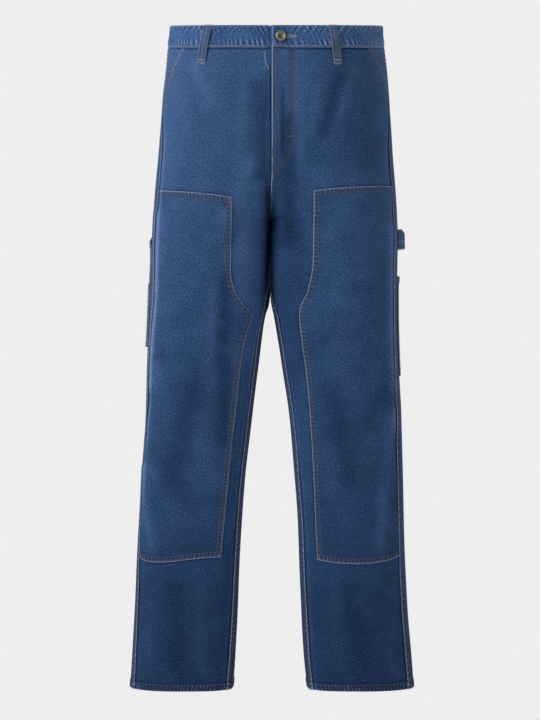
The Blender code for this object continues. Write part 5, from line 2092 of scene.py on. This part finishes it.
def make_belt_loops():
    rows, tacks = [], []
    share = np.linspace(0.0, 1.0, LOOP_LENGTH_STEPS + 1)
    angles = np.linspace(0.0, 2.0 * math.pi, LOOP_SECTION, endpoint=False)
    wide = np.sign(np.cos(angles)) * np.abs(np.cos(angles)) ** 0.45
    thick = np.sign(np.sin(angles)) * np.abs(np.sin(angles)) ** 0.6
    height = BAND_HALF_HEIGHT - share * (2.0 * BAND_HALF_HEIGHT + LOOP_BELOW_BAND)
    on_band = BAND_OUTER * smooth((height + BAND_HALF_HEIGHT + LOOP_BEND) / LOOP_BEND)
    bow = LOOP_BOW * np.sin(math.pi * share)
    ends = np.minimum(share, 1.0 - share) * LOOP_LENGTH
    closing = np.sqrt(np.clip(1.0 - (1.0 - np.clip(ends, 0.0, 1.0)) ** 2, 0.1, 1.0))
    half = LOOP_WALL / 2.0
    groove = bump(np.abs(wide) - 0.55, 0.14)[None, :]
    ridge = 0.28 * groove * (thick > 0.5)[None, :]
    flat = np.zeros((len(share), len(wide)))
    material = denim("loop denim washed", 1.35, 1.5, 0.8, 0.7, 0.3, 0.35)
    for number, loop in enumerate(BELT_LOOPS):
        face = (0.0, SIDE_SEAM_TURN) if loop.face == "front" else (2.0, 4.0)
        middle_across = loop.across_top + share * (loop.across_end - loop.across_top)
        across = middle_across[:, None] + wide[None, :] * LOOP_WIDTH / 2.0
        points, normals = loop_points(loop, across, height[:, None] + flat, face)
        crest = 0.25 * ripple(share * 60.0, 9.0, number + 1.0)
        offset = (GAP + on_band + bow + half)[:, None] + thick[None, :] * half * closing[:, None]
        offset = offset - ridge + crest[:, None] * 0.5
        loops = points + normals * offset[..., None]
        wear = 0.5 * bump(np.abs(wide) - 1.0, 0.16)[None, :] + 0.7 * bump(ends[:, None], 1.5) + flat
        # Darker along the grooves of the sewn rows: painted shade.
        dye = 0.5 * groove + flat
        uv = np.stack((wide[None, :] * 6.5 + flat, share[:, None] * LOOP_LENGTH + flat), axis=-1)
        name = loop.name + "_cloth"
        piece = tube_object(name, loops, wear, dye, uv, material, [loop.name])
        declare("loop", "waistband_cloth")
        for place in (-0.62, 0.62):
            across_row = middle_across + place * LOOP_WIDTH / 2.0
            places, directions = loop_points(loop, across_row, height, face)
            rows.append(laid(places[2:-2], directions[2:-2], [name]))
        for at in LOOP_TACKS:
            across_row = np.interp(at / LOOP_LENGTH, share, middle_across)
            across_row = across_row + np.linspace(-5.2, 5.2, LOOP_TACK_POINTS)
            heights = np.full(LOOP_TACK_POINTS, BAND_HALF_HEIGHT - at)
            places, directions = loop_points(loop, across_row, heights, face)
            tacks.append(laid(places, directions, [name], 0.35))
    sewing("stitches_belt_loops", rows, tan(), 0.0028)
    purl("belt_loop_tacks", tacks, pale(), 1.6)


def loop_points(loop, across, height, face):
    """Points and directions on the cloth under a belt loop; below zero it lies on the other half."""
    other = RIGHT if loop.side == LEFT else LEFT
    found = []
    for side in (loop.side, other):
        distance = across if side == loop.side else -across
        turn = turn_at(side, np.abs(distance), height, *face)
        level = band_level(side, turn, height)
        found.append(on_cloth(side, turn, level))
    here = (np.asarray(across) >= 0.0)[..., None]
    return np.where(here, found[0][0], found[1][0]), np.where(here, found[0][1], found[1][1])


# Distances from the button's axis and heights above the band, from the middle out and round the rim
BUTTON_PROFILE = (
    (0.0, 0.9), (1.0, 0.95), (1.3, 1.35), (2.3, 1.45), (2.9, 1.9), (3.6, 2.7), (4.4, 3.35), (5.2, 3.75),
    (6.0, 3.9), (6.8, 3.8), (7.5, 3.5), (8.1, 3.0), (8.5, 2.4), (8.7, 1.8), (8.65, 1.2), (8.3, 0.7),
    (7.4, 0.5),
)
BUTTON_STEPS = 64
BUTTON_RIM = 6.2


def make_button():
    turn = lap_turn(BUTTON_X)
    level = band_level(LEFT, turn, 0.0)
    normal = cloth_normal(LEFT, turn, level)
    seat = cloth_point(LEFT, turn, level) + normal * BAND_OUTER
    profile = np.array(BUTTON_PROFILE)
    angles = np.linspace(0.0, 2.0 * math.pi, BUTTON_STEPS, endpoint=False)
    sideways = np.cross(normal, (0.0, 0.0, 1.0))
    sideways = sideways / np.linalg.norm(sideways)
    upward = np.cross(sideways, normal)
    shape = bmesh.new()
    centre = shape.verts.new(Vector((seat + normal * profile[0, 1]) * MM))
    rings = []
    for radius, height in profile[1:]:
        ring = []
        for angle in angles:
            spoke = radius * (math.cos(angle) * sideways + math.sin(angle) * upward)
            ring.append(shape.verts.new(Vector((seat + normal * height + spoke) * MM)))
        rings.append(ring)
    for number in range(BUTTON_STEPS):
        after = (number + 1) % BUTTON_STEPS
        shape.faces.new((centre, rings[0][number], rings[0][after]))
        for one, two in zip(rings, rings[1:]):
            shape.faces.new((one[number], two[number], two[after], one[after]))
    shape.faces.new(rings[-1])
    bmesh.ops.recalc_face_normals(shape, faces=shape.faces)
    mesh = bpy.data.meshes.new("button_cap")
    shape.to_mesh(mesh)
    shape.free()
    rims = np.repeat(bump(profile[1:, 0] - BUTTON_RIM, 1.6), BUTTON_STEPS)
    add_mask(mesh, "wear", np.concatenate(([0.0], rims)))
    mesh.materials.append(metal_material())
    mesh.shade_smooth()
    placed("button_cap", mesh, ["button"])


LENS = 93.75
EYE_CENTRE_X, EYE_LEVEL = -0.0016, -0.5184
AIM_LEVEL = -0.45


def make_stage():
    scene = bpy.context.scene
    stage = scene.pants_stage
    camera = bpy.data.cameras.new("camera")
    camera.lens = LENS
    eye = bpy.data.objects.new("camera", camera)
    eye.location = (EYE_CENTRE_X, -stage.distance, EYE_LEVEL)
    eye.rotation_euler = (math.pi / 2.0, 0.0, 0.0)
    scene.collection.objects.link(eye)
    scene.camera = eye
    scene.view_settings.view_transform = "Standard"
    walls = bpy.data.objects.new("studio_walls", sweep_mesh())
    walls.visible_camera = False
    floor = bpy.data.objects.new("floor", floor_mesh())
    for obj in (walls, floor):
        scene.collection.objects.link(obj)
    scene.world = studio_world(stage.world)
    for name, place, power, width in (
        ("main_lamp", (-2.3, -1.7, 1.3), stage.key, 1.2),
        ("fill_lamp", (2.6, -1.6, 0.7), stage.fill, 2.0),
    ):
        lamp = bpy.data.lights.new(name, "AREA")
        lamp.energy = power
        lamp.shape = "SQUARE"
        lamp.size = width
        holder = bpy.data.objects.new(name, lamp)
        holder.location = place
        aim = Vector((0.0, 0.0, AIM_LEVEL)) - Vector(place)
        holder.rotation_euler = aim.to_track_quat("-Z", "Y").to_euler()
        scene.collection.objects.link(holder)


BACKGROUND = (0.855, 0.855, 0.86, 1.0)


def studio_world(strength):
    """Soft light from all round in front of a plain pale background."""
    world = bpy.data.worlds.new("studio")
    world.use_nodes = True
    tree = world.node_tree
    seen = add_node(tree, "ShaderNodeLightPath")["Is Camera Ray"]
    brightness = add_node(tree, "ShaderNodeMapRange", {"Value": seen, "To Min": strength, "To Max": 1.0})
    feed(tree, tree.nodes["Background"], {"Color": BACKGROUND, "Strength": brightness[0]})
    return world


FLOOR_LEVEL = -1.4
FLOOR_RADIUS = 1.0
SWEEP_START = 1.0
SWEEP_RADIUS = 1.0
SWEEP_HALF_WIDTH = 9.0
SWEEP_TOP = 6.0


def stage_material(name, base, glow):
    """A matt grey that gives some light of its own."""
    material, tree, shader = new_material(name)
    looks = {
        "Base Color": (base, base, base, 1.0),
        "Roughness": 0.9,
        "Specular IOR Level": 0.0,
        "Emission Color": (1.0, 1.0, 1.0, 1.0),
        "Emission Strength": glow,
    }
    feed(tree, shader, looks)
    return material


def floor_mesh():
    """A round pale floor below the garment."""
    angles = np.linspace(0.0, 2.0 * math.pi, 96, endpoint=False)
    level = FLOOR_LEVEL + 0.002
    points = [(FLOOR_RADIUS * math.cos(angle), FLOOR_RADIUS * math.sin(angle), level) for angle in angles]
    mesh = bpy.data.meshes.new("floor")
    mesh.from_pydata(points, [], [list(range(len(points)))])
    mesh.materials.append(stage_material("round floor", 0.8, 0.3))
    return mesh


def sweep_mesh():
    """Pale ground that curves up into a wall behind; it only gives light and isn't seen."""
    profile = [(-9.0, FLOOR_LEVEL), (SWEEP_START, FLOOR_LEVEL)]
    for angle in np.radians(np.arange(5.0, 91.0, 5.0)):
        y = SWEEP_START + SWEEP_RADIUS * math.sin(angle)
        profile.append((y, FLOOR_LEVEL + SWEEP_RADIUS * (1.0 - math.cos(angle))))
    profile.append((SWEEP_START + SWEEP_RADIUS, SWEEP_TOP))
    points = [(x, y, z) for y, z in profile for x in (-SWEEP_HALF_WIDTH, SWEEP_HALF_WIDTH)]
    faces = [(2 * i, 2 * i + 1, 2 * i + 3, 2 * i + 2) for i in range(len(profile) - 1)]
    mesh = bpy.data.meshes.new("studio_walls")
    mesh.from_pydata(points, [], faces)
    mesh.shade_smooth()
    for name, base, glow in (("pale floor", 0.8, 0.12), ("pale wall", 0.12, 0.78)):
        mesh.materials.append(stage_material(name, base, glow))
    for face in mesh.polygons[1:]:
        face.material_index = 1
    return mesh


class PANTS_OT_stage(bpy.types.Operator):
    """Sets the camera, the lamps and the pale floor."""

    bl_idname = "pants.stage"
    bl_label = "Stage"

    def execute(self, context):
        make_stage()
        return {"FINISHED"}


class PANTS_OT_fronts(bpy.types.Operator):
    """Makes the two fronts with their sewing."""

    bl_idname = "pants.fronts"
    bl_label = "Fronts"

    def execute(self, context):
        make_fronts()
        return {"FINISHED"}


class PANTS_OT_backs(bpy.types.Operator):
    """Makes the two backs with their sewing."""

    bl_idname = "pants.backs"
    bl_label = "Backs"

    def execute(self, context):
        make_backs()
        return {"FINISHED"}


class PANTS_OT_knee_patches(bpy.types.Operator):
    """Makes the double layers over the knees."""

    bl_idname = "pants.knee_patches"
    bl_label = "Knee patches"

    def execute(self, context):
        make_knee_patches()
        return {"FINISHED"}


class PANTS_OT_front_pockets(bpy.types.Operator):
    """Makes the cloth in the slanted pocket mouths and the coin pocket."""

    bl_idname = "pants.front_pockets"
    bl_label = "Front pockets"

    def execute(self, context):
        make_front_pockets()
        return {"FINISHED"}


class PANTS_OT_tool_pockets(bpy.types.Operator):
    """Makes the tool pockets and the rule pocket."""

    bl_idname = "pants.tool_pockets"
    bl_label = "Tool pockets"

    def execute(self, context):
        make_tool_pockets()
        return {"FINISHED"}


class PANTS_OT_hammer_loop(bpy.types.Operator):
    """Makes the strap that holds a hammer."""

    bl_idname = "pants.hammer_loop"
    bl_label = "Hammer loop"

    def execute(self, context):
        make_hammer_loop()
        return {"FINISHED"}


class PANTS_OT_back_pockets(bpy.types.Operator):
    """Makes the two patch pockets on the seat."""

    bl_idname = "pants.back_pockets"
    bl_label = "Back pockets"

    def execute(self, context):
        make_back_pockets()
        return {"FINISHED"}


class PANTS_OT_waistband(bpy.types.Operator):
    """Makes the band with its sewing and the buttonhole."""

    bl_idname = "pants.waistband"
    bl_label = "Waistband"

    def execute(self, context):
        make_waistband()
        return {"FINISHED"}


class PANTS_OT_belt_loops(bpy.types.Operator):
    """Makes the five belt loops with their tacks."""

    bl_idname = "pants.belt_loops"
    bl_label = "Belt loops"

    def execute(self, context):
        make_belt_loops()
        return {"FINISHED"}


class PANTS_OT_button(bpy.types.Operator):
    """Makes the round metal button."""

    bl_idname = "pants.button"
    bl_label = "Button"

    def execute(self, context):
        make_button()
        return {"FINISHED"}


OPERATORS = (
    PANTS_OT_stage,
    PANTS_OT_fronts,
    PANTS_OT_backs,
    PANTS_OT_knee_patches,
    PANTS_OT_front_pockets,
    PANTS_OT_tool_pockets,
    PANTS_OT_hammer_loop,
    PANTS_OT_back_pockets,
    PANTS_OT_waistband,
    PANTS_OT_belt_loops,
    PANTS_OT_button,
)


class PANTS_PT_panel(bpy.types.Panel):
    """Lists the steps that make the garment."""

    bl_idname = "PANTS_PT_panel"
    bl_label = "Carpenter pants"
    bl_space_type = "VIEW_3D"
    bl_region_type = "UI"
    bl_category = "Pants"

    def draw(self, context):
        for operator in OPERATORS:
            self.layout.operator(operator.bl_idname)
        for settings in (context.scene.pants_cloth, context.scene.pants_colours, context.scene.pants_stage):
            for name in settings.__annotations__:
                self.layout.prop(settings, name)


SETTINGS = (
    ("pants_cloth", ClothSettings),
    ("pants_colours", ColourSettings),
    ("pants_stage", StageSettings),
)


def register():
    for name, group in SETTINGS:
        bpy.utils.register_class(group)
        setattr(bpy.types.Scene, name, bpy.props.PointerProperty(type=group))
    for group in (*OPERATORS, PANTS_PT_panel):
        bpy.utils.register_class(group)


def unregister():
    for group in (*OPERATORS, PANTS_PT_panel):
        bpy.utils.unregister_class(group)
    for name, group in SETTINGS:
        delattr(bpy.types.Scene, name)
        bpy.utils.unregister_class(group)


def main():
    register()
    for operator in OPERATORS:
        group, name = operator.bl_idname.split(".")
        getattr(getattr(bpy.ops, group), name)()


if __name__ == "__main__":
    main()
